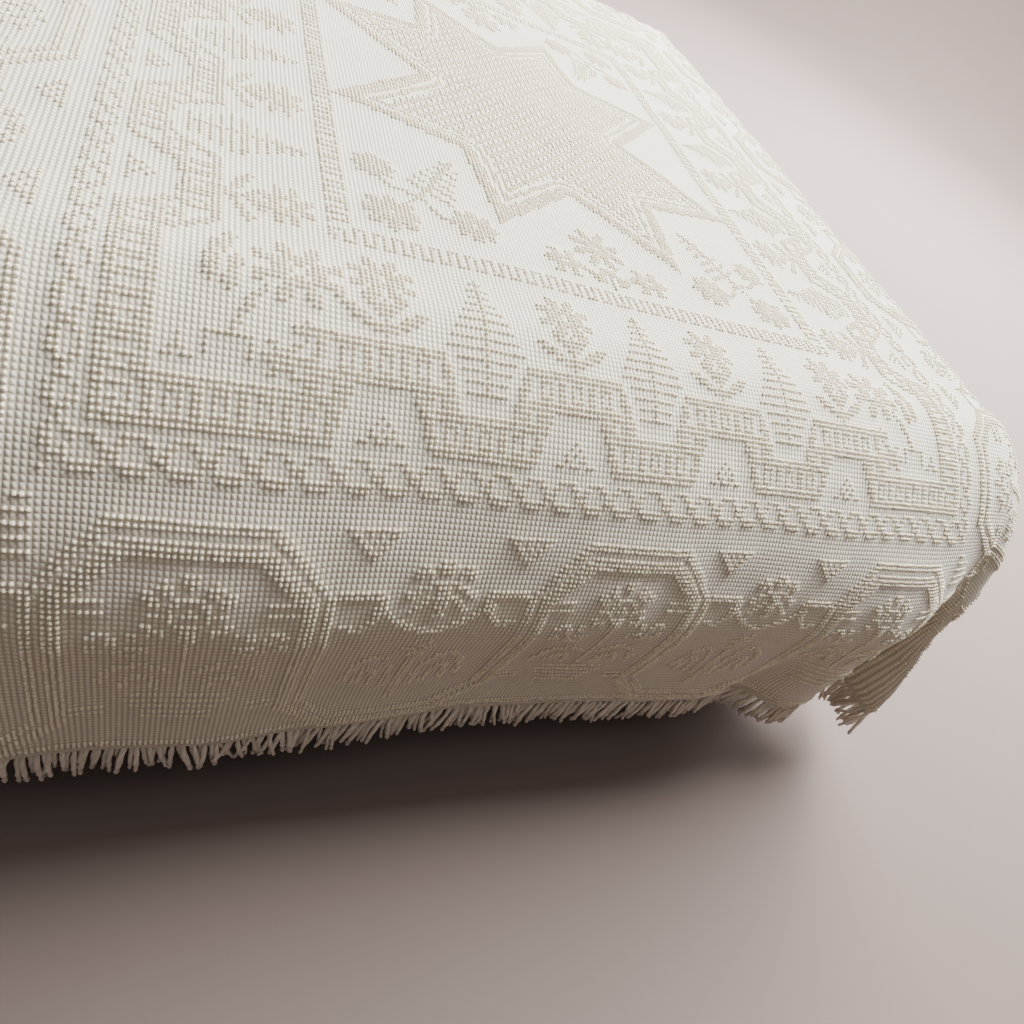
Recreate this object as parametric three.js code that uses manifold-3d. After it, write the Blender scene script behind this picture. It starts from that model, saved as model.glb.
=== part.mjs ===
// Candlewick bedspread with a corded fringe on three sides, draped over a plain bed.
// Millimetres, +Z up, the foot of the bed towards -Y. The cloth is worked out from its flat
// sheet: u runs across the bed and v along it, both measured from the middle of the sheet.

import * as THREE from 'three';
import Module from 'manifold-3d';

// The flat sheet, from hem to hem, and its thickness with the tufts.
const SHEET_WIDTH = 1904;
const SHEET_LENGTH = 2564;
const SHEET_THICKNESS = 3;

// Step along the sheet over which its slope is read.
const SLOPE_STEP = 0.5;

// The flat field on top of the bed, from the middle of the sheet to where it starts to fall.
const TOP_HEIGHT = 680;
const FIELD_HALF_WIDTH = 721;
const FIELD_TO_FOOT = 645;
const FIELD_TO_HEAD = 1043;

// How the sheet turns down: reach outwards, fall downwards and the power of its curve, where
// 2 is an ellipse, less is slacker and more is squarer.
const FOOT_SHOULDER = { reach: 269, fall: 267, power: 1.55 };
const SIDE_SHOULDER = { reach: 108, fall: 150, power: 2.6 };
const SHOULDER_STEPS = 40;

// Folds of the hanging cloth, as soft troughs and ridges. `at` is the place along the hem from
// the middle, `width` the half width, `depth` the push outwards at its full growth, and `start`
// and `full` how far down the cloth, from the edge of the field, it begins and is complete.
const FOOT_FOLDS = [
  { at: 20, width: 400, depth: -28, start: 180, full: 620 },
  { at: 430, width: 52, depth: -32, start: 380, full: 637 },
  { at: 545, width: 60, depth: 11, start: 180, full: 620 },
  { at: 640, width: 48, depth: -20, start: 180, full: 620 },
  { at: 716, width: 58, depth: -84, start: 180, full: 620 },
  { at: 770, width: 95, depth: -34, start: 120, full: 330 },
  { at: 806, width: 54, depth: 79, start: 350, full: 640 },
  { at: 935, width: 60, depth: -34, start: 180, full: 620 },
  { at: -450, width: 70, depth: 10, start: 180, full: 620 },
  { at: -560, width: 90, depth: 6, start: 180, full: 620 },
  { at: -715, width: 75, depth: 18, start: 180, full: 620 },
  { at: -775, width: 95, depth: -14, start: 120, full: 330 },
  { at: -796, width: 58, depth: -38, start: 180, full: 620 },
  { at: -884, width: 56, depth: 50, start: 350, full: 640 },
  { at: -965, width: 60, depth: -22, start: 180, full: 620 },
];
const SIDE_FOLDS = [
  { at: -430, width: 150, depth: -9, start: 110, full: 230 },
  { at: -80, width: 170, depth: 8, start: 110, full: 230 },
  { at: 330, width: 160, depth: -8, start: 110, full: 230 },
  { at: 760, width: 190, depth: 9, start: 110, full: 230 },
];

// Corners, by the angle from the foot or head direction round to the side.
const FOOT_FOLDS_END = THREE.MathUtils.degToRad(19);
const FOOT_FOLDS_FADE = THREE.MathUtils.degToRad(20);
const SIDE_FOLDS_START = THREE.MathUtils.degToRad(45);
const FOOT_CORNER_BULGE = { depth: 20, full: 160 };
const HEAD_CORNER_EAR = { depth: 95, spread: THREE.MathUtils.degToRad(17), start: 60, full: 330 };

// Cells of the sheet's grid: outwards to each distance from the middle, in so many cells.
const CELLS_TO_SIDE = [
  { to: 480, cells: 4 },
  { to: FIELD_HALF_WIDTH, cells: 7 },
  { to: SHEET_WIDTH / 2, cells: 8 },
];
const CELLS_TO_FOOT = [
  { to: FIELD_TO_FOOT, cells: 6 },
  { to: SHEET_LENGTH / 2, cells: 17 },
];
const CELLS_TO_HEAD = [
  { to: FIELD_TO_HEAD, cells: 9 },
  { to: SHEET_LENGTH / 2, cells: 8 },
];

// Fringe: a narrow heading under the hem, and cords gathered into locks that hang from it.
const HEADING_HEIGHT = 9;
const HEADING_THICKNESS = 3.4;
const HEADING_GAP = 0.96;
const LOCK_PITCH = 24;
const LOCK_LENGTH = 65;
const LOCK_ROOT_RADIUS = 4.4;
const LOCK_TIP_RADIUS = 4;
const LOCK_SIDES = 3;
const LOCK_FLATNESS = 0.36;
const LOCK_ROOT_DEPTH = 3;
const LOCK_DROOP = 1.4;
const LOCK_LEAN = 0.09;
const LOCK_SWAY = 0.08;
const LOCK_SWAY_STEP = 2.4;

// Mattress: soft edges that stay inside the cloth, and a flat underside.
const MATTRESS_THICKNESS = 280;
const MATTRESS_REST_GAP = 0.5;
const MATTRESS_FIELD_INSET = 30;
const MATTRESS_SIDE_REACH = 118;
const MATTRESS_FOOT_REACH = 230;
const MATTRESS_CORNER_RADIUS = 20;
const MATTRESS_RINGS = 8;
const MATTRESS_CORNER_STEPS = 6;

// Base: a plain upholstered box, set back under the mattress.
const BASE_HALF_WIDTH = 750;
const BASE_TO_FOOT = 780;
const BASE_TO_HEAD = 1070;
const BASE_CORNER_RADIUS = 60;
const BASE_CORNER_STEPS = 5;
const BASE_GAP = 0.3;

const COTTON = { color: '#eeeae0', roughness: 0.95, metalness: 0 };
const TICKING = { color: '#dedad2', roughness: 0.9, metalness: 0 };
const UPHOLSTERY = { color: '#a39b90', roughness: 0.92, metalness: 0 };

const wasm = await Module();
wasm.setup();

const DOWN = new THREE.Vector3(0, 0, -1);
const HALF_WIDTH = SHEET_WIDTH / 2;
const HALF_LENGTH = SHEET_LENGTH / 2;

function smooth(value, start, full) {
  return THREE.MathUtils.smoothstep(value, start, full);
}

// Distance out and down after `travel` along a shoulder, and then straight down.
function alongShoulder(travel, reach, fall, power) {
  let out = 0;
  let down = 0;
  let walked = 0;
  for (let step = 1; step <= SHOULDER_STEPS; step += 1) {
    const angle = (step / SHOULDER_STEPS) * Math.PI / 2;
    const nextOut = reach * Math.sin(angle) ** (2 / power);
    const nextDown = fall * (1 - Math.max(0, Math.cos(angle)) ** (2 / power));
    const stride = Math.hypot(nextOut - out, nextDown - down);
    if (walked + stride >= travel) {
      const share = (travel - walked) / stride;
      return {
        out: THREE.MathUtils.lerp(out, nextOut, share),
        down: THREE.MathUtils.lerp(down, nextDown, share),
      };
    }
    walked += stride;
    out = nextOut;
    down = nextDown;
  }
  return { out, down: down + travel - walked };
}

function foldPush(folds, place, travel) {
  let push = 0;
  for (const fold of folds) {
    const offset = (place - fold.at) / fold.width;
    push += fold.depth * Math.exp(-offset * offset) * smooth(travel, fold.start, fold.full);
  }
  return push;
}

// The outer face of the hanging cloth over the point u, v of the flat sheet.
function drape(u, v) {
  const side = u < 0 ? -1 : 1;
  const atFoot = v < 0;
  const end = atFoot ? -1 : 1;
  const field = atFoot ? FIELD_TO_FOOT : FIELD_TO_HEAD;
  const shoulder = atFoot ? FOOT_SHOULDER : SIDE_SHOULDER;
  const overSide = Math.max(0, Math.abs(u) - FIELD_HALF_WIDTH);
  const overEnd = Math.max(0, Math.abs(v) - field);
  const travel = Math.hypot(overSide, overEnd);
  const turn = travel > 0 ? Math.atan2(overSide, overEnd) : 0;
  const sine = Math.sin(turn);
  const cosine = Math.cos(turn);
  const blend = smooth(turn, 0, Math.PI / 2);
  const reach = 1 / Math.hypot(sine / SIDE_SHOULDER.reach, cosine / shoulder.reach);
  const fall = THREE.MathUtils.lerp(shoulder.fall, SIDE_SHOULDER.fall, blend);
  const power = THREE.MathUtils.lerp(shoulder.power, SIDE_SHOULDER.power, blend);
  const path = alongShoulder(travel, reach, fall, power);
  let out = path.out;
  const sideShare = smooth(turn, SIDE_FOLDS_START, Math.PI / 2);
  out += foldPush(SIDE_FOLDS, v, travel) * sideShare;
  if (atFoot) {
    const hemDrop = HALF_LENGTH - FIELD_TO_FOOT;
    const pastField = Math.tan(Math.min(turn, FOOT_FOLDS_END + FOOT_FOLDS_FADE)) * hemDrop;
    const hemPlace = overSide > 0 ? side * (FIELD_HALF_WIDTH + pastField) : u;
    const footShare = 1 - smooth(turn, FOOT_FOLDS_END, FOOT_FOLDS_END + FOOT_FOLDS_FADE);
    out += foldPush(FOOT_FOLDS, hemPlace, travel) * footShare;
    out += FOOT_CORNER_BULGE.depth * Math.sin(2 * turn) ** 2 * smooth(travel, 0, FOOT_CORNER_BULGE.full);
  } else {
    const offset = (turn - Math.PI / 4) / HEAD_CORNER_EAR.spread;
    const growth = smooth(travel, HEAD_CORNER_EAR.start, HEAD_CORNER_EAR.full);
    out += HEAD_CORNER_EAR.depth * Math.exp(-offset * offset) * growth;
  }
  return new THREE.Vector3(
    (overSide > 0 ? side * FIELD_HALF_WIDTH : u) + side * out * sine,
    (overEnd > 0 ? end * field : v) + end * out * cosine,
    TOP_HEIGHT - path.down,
  );
}

// A point of the cloth with its outward normal and the directions across and along the sheet.
function clothFrame(u, v) {
  const across = drape(u + SLOPE_STEP, v).sub(drape(u - SLOPE_STEP, v)).normalize();
  const along = drape(u, v + SLOPE_STEP).sub(drape(u, v - SLOPE_STEP)).normalize();
  const normal = new THREE.Vector3().crossVectors(across, along).normalize();
  return { point: drape(u, v), normal, across, along };
}

// Grid lines from one hem to the other, from the cells on each side of the middle.
function gridLines(backCells, frontCells) {
  const oneWay = (rows) => {
    const lines = [];
    let from = 0;
    for (const row of rows) {
      for (let cell = 1; cell <= row.cells; cell += 1) {
        lines.push(THREE.MathUtils.lerp(from, row.to, cell / row.cells));
      }
      from = row.to;
    }
    return lines;
  };
  const back = oneWay(backCells).map((value) => -value).reverse();
  return [...back, 0, ...oneWay(frontCells)];
}

const LINES_U = gridLines(CELLS_TO_SIDE, CELLS_TO_SIDE);
const LINES_V = gridLines(CELLS_TO_FOOT, CELLS_TO_HEAD);

// An indexed geometry with its faces pointing outwards.
function closedGeometry(points, triangles) {
  let volume = 0;
  for (const [a, b, c] of triangles) {
    volume += points[a].dot(new THREE.Vector3().crossVectors(points[b], points[c]));
  }
  const outward = volume > 0 ? triangles : triangles.map(([a, b, c]) => [a, c, b]);
  const geometry = new THREE.BufferGeometry();
  geometry.setFromPoints(points);
  geometry.setIndex(outward.flat());
  geometry.computeVertexNormals();
  return geometry;
}

// A closed solid through a row of sections that all have the same number of points.
function loft(sections) {
  const count = sections[0].length;
  const triangles = [];
  for (let row = 0; row + 1 < sections.length; row += 1) {
    for (let column = 0; column < count; column += 1) {
      const next = (column + 1) % count;
      const a = row * count + column;
      const b = row * count + next;
      triangles.push([a, b, a + count], [b, b + count, a + count]);
    }
  }
  const last = (sections.length - 1) * count;
  for (let column = 1; column + 1 < count; column += 1) {
    triangles.push([0, column + 1, column], [last, last + column, last + column + 1]);
  }
  return closedGeometry(sections.flat(), triangles);
}

// The sheet: its outer face, the same face moved inwards by the thickness, and the hems between.
function sheetGeometry() {
  const columns = LINES_U.length;
  const rows = LINES_V.length;
  const outer = [];
  const inner = [];
  for (const v of LINES_V) {
    for (const u of LINES_U) {
      const { point, normal } = clothFrame(u, v);
      outer.push(point);
      inner.push(point.clone().addScaledVector(normal, -SHEET_THICKNESS));
    }
  }
  const under = outer.length;
  const triangles = [];
  for (let row = 0; row + 1 < rows; row += 1) {
    for (let column = 0; column + 1 < columns; column += 1) {
      const a = row * columns + column;
      const b = a + 1;
      const c = a + columns;
      const d = c + 1;
      triangles.push([a, b, d], [a, d, c]);
      triangles.push([under + a, under + d, under + b], [under + a, under + c, under + d]);
    }
  }
  const rim = [];
  for (let column = 0; column < columns; column += 1) rim.push(column);
  for (let row = 1; row < rows; row += 1) rim.push(row * columns + columns - 1);
  for (let column = columns - 2; column >= 0; column -= 1) rim.push((rows - 1) * columns + column);
  for (let row = rows - 2; row > 0; row -= 1) rim.push(row * columns);
  rim.forEach((a, index) => {
    const b = rim[(index + 1) % rim.length];
    triangles.push([a, under + a, b], [b, under + a, under + b]);
  });
  return closedGeometry([...outer, ...inner], triangles);
}

// Middle of the hem's thickness at one grid line, with the direction in which the cloth ends.
function hemFrame(u, v, run, outward) {
  const { point, normal } = clothFrame(u, v);
  const middle = point.addScaledVector(normal, -SHEET_THICKNESS / 2);
  const hang = new THREE.Vector3().crossVectors(run, normal).normalize();
  if (hang.dot(outward) < 0) hang.negate();
  return { middle, normal, hang, run };
}

function footHem() {
  return LINES_U.map((u) => {
    const { across, along } = clothFrame(u, -HALF_LENGTH);
    return hemFrame(u, -HALF_LENGTH, across, along.negate());
  });
}

// Both hems run the same way round the sheet, so that their facets match those of its edge.
function sideHem(side) {
  const lines = side > 0 ? LINES_V : [...LINES_V].reverse();
  return lines.map((v) => {
    const { across, along } = clothFrame(side * HALF_WIDTH, v);
    return hemFrame(side * HALF_WIDTH, v, along, across.multiplyScalar(side));
  });
}

function headingGeometry(hem) {
  const half = HEADING_THICKNESS / 2;
  return loft(hem.map(({ middle, normal, hang }) => {
    const bottom = HEADING_GAP + HEADING_HEIGHT;
    const corner = (drop, offset) => middle.clone()
      .addScaledVector(hang, drop)
      .addScaledVector(normal, offset);
    return [
      corner(HEADING_GAP, half),
      corner(HEADING_GAP, -half),
      corner(bottom, -half),
      corner(bottom, half),
    ];
  }));
}

// One lock: a slim tapered prism from inside the heading down to its tip.
function lockGeometry(root, direction, outward) {
  const across = new THREE.Vector3().crossVectors(direction, outward).normalize();
  const front = new THREE.Vector3().crossVectors(across, direction).normalize();
  const ring = (center, radius) => Array.from({ length: LOCK_SIDES }, (_, corner) => {
    const angle = (corner / LOCK_SIDES) * 2 * Math.PI;
    return center.clone()
      .addScaledVector(across, radius * Math.sin(angle))
      .addScaledVector(front, radius * LOCK_FLATNESS * Math.cos(angle));
  });
  const tip = root.clone().addScaledVector(direction, LOCK_LENGTH + LOCK_ROOT_DEPTH);
  return loft([ring(root, LOCK_ROOT_RADIUS), ring(tip, LOCK_TIP_RADIUS)]);
}

function toSolid(geometry) {
  return new wasm.Manifold(new wasm.Mesh({
    numProp: 3,
    vertProperties: new Float32Array(geometry.getAttribute('position').array),
    triVerts: new Uint32Array(geometry.getIndex().array),
  }));
}

function fromSolid(solid) {
  const mesh = solid.getMesh();
  const geometry = new THREE.BufferGeometry();
  geometry.setAttribute('position', new THREE.BufferAttribute(mesh.vertProperties, 3));
  geometry.setIndex(new THREE.BufferAttribute(mesh.triVerts, 1));
  geometry.computeVertexNormals();
  return geometry;
}

// The heading with its locks, evenly spaced along the hem and hanging a little askew.
function fringeGeometry(hem) {
  let solid = toSolid(headingGeometry(hem));
  let toNext = LOCK_PITCH / 2;
  let count = 0;
  for (let index = 0; index + 1 < hem.length; index += 1) {
    const here = hem[index];
    const there = hem[index + 1];
    const length = here.middle.distanceTo(there.middle);
    let walked = toNext;
    while (walked < length) {
      const share = walked / length;
      const mix = (key) => here[key].clone().lerp(there[key], share);
      const hang = mix('hang').normalize();
      const outward = mix('normal').normalize();
      const run = mix('run').normalize();
      const sway = LOCK_SWAY * Math.sin(count * LOCK_SWAY_STEP);
      const direction = hang.clone()
        .addScaledVector(DOWN, LOCK_DROOP)
        .normalize()
        .addScaledVector(outward, LOCK_LEAN)
        .addScaledVector(run, sway)
        .normalize();
      const rootDrop = HEADING_GAP + HEADING_HEIGHT - LOCK_ROOT_DEPTH;
      const root = mix('middle').addScaledVector(hang, rootDrop);
      solid = solid.add(toSolid(lockGeometry(root, direction, outward)));
      count += 1;
      walked += LOCK_PITCH;
    }
    toNext = walked - length;
  }
  return fromSolid(solid);
}

// The mattress: rings that widen down its soft edge, and a straight wall to the underside.
function mattressGeometry() {
  const width = FIELD_HALF_WIDTH - MATTRESS_FIELD_INSET - MATTRESS_CORNER_RADIUS;
  const ends = [
    { sign: 1, length: FIELD_TO_HEAD, reach: MATTRESS_SIDE_REACH, shoulder: SIDE_SHOULDER },
    { sign: -1, length: FIELD_TO_FOOT, reach: MATTRESS_FOOT_REACH, shoulder: FOOT_SHOULDER },
  ];
  const top = TOP_HEIGHT - SHEET_THICKNESS - MATTRESS_REST_GAP;
  const corner = (side, end, angle, step) => {
    const length = end.length - MATTRESS_FIELD_INSET - MATTRESS_CORNER_RADIUS;
    const blend = smooth(angle, 0, Math.PI / 2);
    const fall = THREE.MathUtils.lerp(end.shoulder.fall, SIDE_SHOULDER.fall, blend);
    const power = THREE.MathUtils.lerp(end.shoulder.power, SIDE_SHOULDER.power, blend);
    const bend = (step / MATTRESS_RINGS) * Math.PI / 2;
    const share = Math.sin(bend) ** (2 / power);
    const down = fall * (1 - Math.max(0, Math.cos(bend)) ** (2 / power));
    return new THREE.Vector3(
      side * (width + (MATTRESS_CORNER_RADIUS + MATTRESS_SIDE_REACH * share) * Math.sin(angle)),
      end.sign * (length + (MATTRESS_CORNER_RADIUS + end.reach * share) * Math.cos(angle)),
      top - down,
    );
  };
  const corners = [
    { side: 1, end: ends[0], toSide: true },
    { side: 1, end: ends[1], toSide: false },
    { side: -1, end: ends[1], toSide: true },
    { side: -1, end: ends[0], toSide: false },
  ];
  const ring = (step) => {
    const points = [];
    for (const { side, end, toSide } of corners) {
      for (let index = 0; index <= MATTRESS_CORNER_STEPS; index += 1) {
        const part = index / MATTRESS_CORNER_STEPS;
        const angle = (toSide ? part : 1 - part) * Math.PI / 2;
        points.push(corner(side, end, angle, step));
      }
    }
    return points;
  };
  const rings = [];
  for (let step = 0; step <= MATTRESS_RINGS; step += 1) rings.push(ring(step));
  rings.push(ring(MATTRESS_RINGS).map((point) => point.setZ(top - MATTRESS_THICKNESS)));
  return loft(rings);
}

function baseGeometry() {
  const radius = BASE_CORNER_RADIUS;
  const right = BASE_HALF_WIDTH - radius;
  const head = BASE_TO_HEAD - radius;
  const foot = -BASE_TO_FOOT + radius;
  const outline = new THREE.Shape();
  outline.absarc(right, foot, radius, -Math.PI / 2, 0, false);
  outline.absarc(right, head, radius, 0, Math.PI / 2, false);
  outline.absarc(-right, head, radius, Math.PI / 2, Math.PI, false);
  outline.absarc(-right, foot, radius, Math.PI, 1.5 * Math.PI, false);
  outline.closePath();
  const depth = TOP_HEIGHT - SHEET_THICKNESS - MATTRESS_REST_GAP - MATTRESS_THICKNESS - BASE_GAP;
  const settings = { depth, bevelEnabled: false, curveSegments: BASE_CORNER_STEPS };
  return new THREE.ExtrudeGeometry(outline, settings);
}

function addPart(group, name, geometry, finish) {
  const mesh = new THREE.Mesh(geometry, new THREE.MeshStandardMaterial(finish));
  mesh.name = name;
  group.add(mesh);
}

const bed = new THREE.Group();
addPart(bed, 'bed_base', baseGeometry(), UPHOLSTERY);
addPart(bed, 'mattress', mattressGeometry(), TICKING);
addPart(bed, 'bedspread', sheetGeometry(), COTTON);
addPart(bed, 'fringe_foot', fringeGeometry(footHem()), COTTON);
addPart(bed, 'fringe_left', fringeGeometry(sideHem(-1)), COTTON);
addPart(bed, 'fringe_right', fringeGeometry(sideHem(1)), COTTON);

// The origin is on the floor, under the middle of the whole.
const extent = new THREE.Box3().setFromObject(bed, true);
const middle = extent.getCenter(new THREE.Vector3());
bed.position.set(-middle.x, -middle.y, -extent.min.z);

export default bed;
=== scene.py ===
"""Candlewick bedspread with a corded fringe on three sides, draped over a plain bed.

The cloth is worked out from its flat sheet: u runs across the bed and v along it, both from the
middle of the sheet, in millimetres. The foot of the bed is towards -Y. Tufts stand on a lattice
of columns and rows, and a chart says which of them are raised.
"""

import math
from collections import namedtuple

import bmesh
import bpy
import numpy as np
from bpy.props import FloatProperty, FloatVectorProperty, IntProperty, PointerProperty
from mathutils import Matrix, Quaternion, Vector


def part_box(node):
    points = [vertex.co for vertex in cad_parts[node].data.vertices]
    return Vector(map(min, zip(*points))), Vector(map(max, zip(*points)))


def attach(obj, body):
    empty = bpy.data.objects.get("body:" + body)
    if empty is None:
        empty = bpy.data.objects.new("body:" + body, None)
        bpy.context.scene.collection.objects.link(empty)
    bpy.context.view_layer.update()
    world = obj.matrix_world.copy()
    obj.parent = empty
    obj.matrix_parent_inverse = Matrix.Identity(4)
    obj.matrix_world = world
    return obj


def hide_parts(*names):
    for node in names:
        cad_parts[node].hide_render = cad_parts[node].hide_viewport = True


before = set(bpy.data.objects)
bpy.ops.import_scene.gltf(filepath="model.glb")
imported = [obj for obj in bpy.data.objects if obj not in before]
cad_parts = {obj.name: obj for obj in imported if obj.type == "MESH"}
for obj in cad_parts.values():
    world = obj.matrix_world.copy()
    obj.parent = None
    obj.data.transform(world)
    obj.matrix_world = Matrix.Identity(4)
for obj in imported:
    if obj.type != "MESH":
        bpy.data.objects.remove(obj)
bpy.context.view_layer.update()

bl_info = {
    "name": "Candlewick bedspread",
    "version": (1, 0, 0),
    "blender": (4, 5, 0),
    "location": "3D View > Sidebar > Bedspread",
    "description": "A tufted cotton bedspread with a corded fringe, draped over a bed",
    "category": "Object",
}

MM = 0.001
BODY = "root"

# The sheet in millimetres, from its middle to its hems, and the lattice of its tufts.
HALF_WIDTH = 952.0
HALF_LENGTH = 1282.0
SHEET_THICKNESS = 3.0
ACROSS = 5.664
ALONG = 6.376
COLUMNS = int(HALF_WIDTH / ACROSS)
ROWS = int(HALF_LENGTH / ALONG)

# The bed under the cloth, from the middle of the sheet.
TOP_HEIGHT = 680.0
FIELD_HALF_WIDTH = 721.0
FIELD_TO_FOOT = 645.0
FIELD_TO_HEAD = 1043.0
BASE_TO_FOOT = 780.0

# How the sheet turns down: reach outwards, fall downwards and the power of its curve.
Shoulder = namedtuple("Shoulder", "reach fall power")
FOOT_SHOULDER = Shoulder(269, 267, 1.55)
SIDE_SHOULDER = Shoulder(108, 150, 2.6)
SHOULDER_STEPS = 40

# Folds of the hanging cloth: place along the hem, half width, push outwards, and how far over
# the edge each begins and is complete.
Fold = namedtuple("Fold", "at width depth start full")
FOOT_FOLDS = [
    Fold(20, 400, -28, 180, 620),
    Fold(430, 52, -32, 380, 637),
    Fold(545, 60, 11, 180, 620),
    Fold(640, 48, -20, 180, 620),
    Fold(716, 58, -84, 180, 620),
    Fold(770, 95, -34, 120, 330),
    Fold(806, 54, 79, 350, 640),
    Fold(935, 60, -34, 180, 620),
    Fold(-450, 70, 10, 180, 620),
    Fold(-560, 90, 6, 180, 620),
    Fold(-715, 75, 18, 180, 620),
    Fold(-775, 95, -14, 120, 330),
    Fold(-796, 58, -38, 180, 620),
    Fold(-884, 56, 50, 350, 640),
    Fold(-965, 60, -22, 180, 620),
]
SIDE_FOLDS = [
    Fold(-430, 150, -9, 110, 230),
    Fold(-80, 170, 8, 110, 230),
    Fold(330, 160, -8, 110, 230),
    Fold(760, 190, 9, 110, 230),
]
FOOT_FOLDS_END = math.radians(19)
FOOT_FOLDS_FADE = math.radians(20)
SIDE_FOLDS_START = math.radians(45)
FOOT_CORNER_BULGE = 20.0
FOOT_CORNER_FULL = 160.0
HEAD_EAR_DEPTH = 95.0
HEAD_EAR_SPREAD = math.radians(17)
HEAD_EAR_START = 60.0
HEAD_EAR_FULL = 330.0

# Slack in the cloth: soft swells of a long wave length, with their height in millimetres.
Swell = namedtuple("Swell", "length heading height phase")
SWELLS = [
    Swell(410, 20, 0.9, 0.4),
    Swell(260, 75, 0.6, 1.9),
    Swell(190, 140, 0.45, 3.1),
]
SWELL_HANGING = 2.2

# The cloth puckers up among its raised tufts: by so much, softened over so many tufts.
PUCKER_RISE = 3.0
PUCKER_PASSES = 2

# Half the stretch of cloth over which its slope is taken.
SLOPE_STEP = 0.5

# Where the middle of the sheet lies in the frame, from the bed's base.
BASE_LOW, BASE_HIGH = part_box("bed_base")
SHEET_PLACE = np.array([
    (BASE_LOW.x + BASE_HIGH.x) / 2,
    BASE_LOW.y + BASE_TO_FOOT * MM,
    0.0,
])


def linear(code):
    """An sRGB hex colour as linear red, green and blue."""
    channels = [int(code[place:place + 2], 16) / 255 for place in (1, 3, 5)]
    return [c / 12.92 if c <= 0.04045 else ((c + 0.055) / 1.055) ** 2.4 for c in channels]


def length_setting(name, description, default):
    """A length in metres that a user may change."""
    return FloatProperty(name=name, description=description, default=default, unit="LENGTH")


def angle_setting(name, description, degrees):
    """An angle that a user may change, given in degrees."""
    return FloatProperty(
        name=name, description=description, default=math.radians(degrees), subtype="ANGLE")


def colour_setting(name, description, code):
    """A colour that a user may change, given as an sRGB hex value."""
    return FloatVectorProperty(
        name=name, description=description, default=linear(code), subtype="COLOR",
        size=3, min=0, max=1)


class SpreadSettings(bpy.types.PropertyGroup):
    """Sizes and colours of the cloth, its tufts and its fringe."""

    cells_across: IntProperty(
        name="Cells across", description="Cells of the cloth's mesh across the bed", default=190)
    cells_along: IntProperty(
        name="Cells along", description="Cells of the cloth's mesh along the bed", default=258)
    tuft_height: length_setting("Tuft height", "Rise of a raised tuft over the cloth", 0.0030)
    tuft_length: length_setting("Tuft length", "Longer width of a raised tuft at its root", 0.0056)
    tuft_width: length_setting("Tuft width", "Shorter width of a raised tuft at its root", 0.0046)
    tuft_slant: angle_setting("Tuft slant", "Turn of a tuft's longer way from the warp", 28)
    ground_rise: length_setting("Ground rise", "Height of the small tufts of the ground", 0.0012)
    cord_length: length_setting("Cord length", "Length of a fringe cord below its heading", 0.058)
    cord_radius: length_setting("Cord radius", "Radius of a fringe cord", 0.0036)
    cord_pitch: length_setting("Cord pitch", "Spacing of the fringe cords along the hem", 0.0064)
    heading_height: length_setting(
        "Heading height", "Height of the tape that carries the fringe", 0.009)
    crown: colour_setting("Cotton", "Colour of the raised tufts' crowns", "#FCF2DD")
    second_crown: colour_setting("Cotton, aged", "Colour of the creamier tufts", "#F3E8CC")
    # Painted shade: the tufts' yarn darkens to this colour towards their roots.
    root_shade: colour_setting("Root", "Colour of the yarn at the roots of the raised tufts", "#E0D5BB")
    # The ground's colour is partly the cotton's own and partly painted shade: it is set darker than
    # the tufts' crowns, because its sunken weave gets no shadow from its bump.
    ground: colour_setting("Ground", "Colour of the small tufts of the ground", "#EEE6D5")
    second_ground: colour_setting(
        "Ground, aged", "Colour of the creamier parts of the ground", "#E5DCC8")
    # Painted shade in the dips between the ground's small tufts.
    furrow_shade: colour_setting(
        "Furrow", "Colour of the cloth between the ground's small tufts", "#BAB09B")
    cord: colour_setting("Cord", "Colour of the fringe cords", "#E8DBCA")
    second_cord: colour_setting("Cord, aged", "Colour of the darker fringe cords", "#D6C9B7")
    # Painted shade between the plies of a cord.
    cord_groove_shade: colour_setting(
        "Cord groove", "Colour between the plies of a fringe cord", "#BAAC9B")


class BedSettings(bpy.types.PropertyGroup):
    """Sizes and colours of the mattress and the base."""

    piping: length_setting("Piping", "Height of the piping on the mattress and the base", 0.010)
    proud: length_setting("Piping proud", "How far the piping stands out", 0.004)
    ticking: colour_setting("Ticking", "Colour of the mattress cover", "#E4E0D8")
    upholstery: colour_setting("Upholstery", "Colour of the base's fabric", "#A79F94")


class StageSettings(bpy.types.PropertyGroup):
    """Camera, light and floor."""

    lens: FloatProperty(
        name="Lens", description="Focal length on a 36 mm sensor",
        default=24.94, subtype="DISTANCE_CAMERA")
    camera_place: FloatVectorProperty(
        name="Camera place", description="Camera from the middle of the sheet, over the floor",
        size=3, default=(-0.5332, -1.290, 1.110), subtype="TRANSLATION")
    heading: angle_setting("Heading", "Turn of the view to the right of the bed's length", 37.36)
    dip: angle_setting("Dip", "Tilt of the view below the horizon", 43.55)
    roll: angle_setting("Roll", "Roll of the camera about its view", 32.38)
    key_power: FloatProperty(
        name="Key light", description="Power of the large soft light behind the bed",
        default=3450, subtype="POWER")
    back_power: FloatProperty(
        name="Back light", description="Power of the light over the floor beyond the bed",
        default=1300, subtype="POWER")
    overhead: FloatProperty(
        name="Overhead light", description="Strength of the wide soft light from straight above",
        default=1.4)
    ambient: FloatProperty(
        name="Ambient", description="Strength of the light from all round", default=0.03)
    surround: colour_setting("Surround", "Colour of the light from all round", "#EFF1F3")
    floor: colour_setting("Floor", "Colour of the floor", "#6E605A")


# The chart of raised tufts. Places are counted in tufts: along a border from the middle of its
# side, and outwards from the rope that goes round the field.

ROPE_COLUMN = 67
ROPE_ROW = 86
# The side borders are narrower: tufts out from the rope there, and in the foot border.
SIDE_OUT = (-3, 0, 22, 38, 45, 49, 101)
FOOT_OUT = (-3, 0, 25, 42, 50, 55, 115)
# A measure for all that lies inside the rope.
INSIDE_ROPE = -99
# Half a tuft on the side borders, which measure their rows in columns.
SIDE_HALF_TUFT = 0.57

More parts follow.
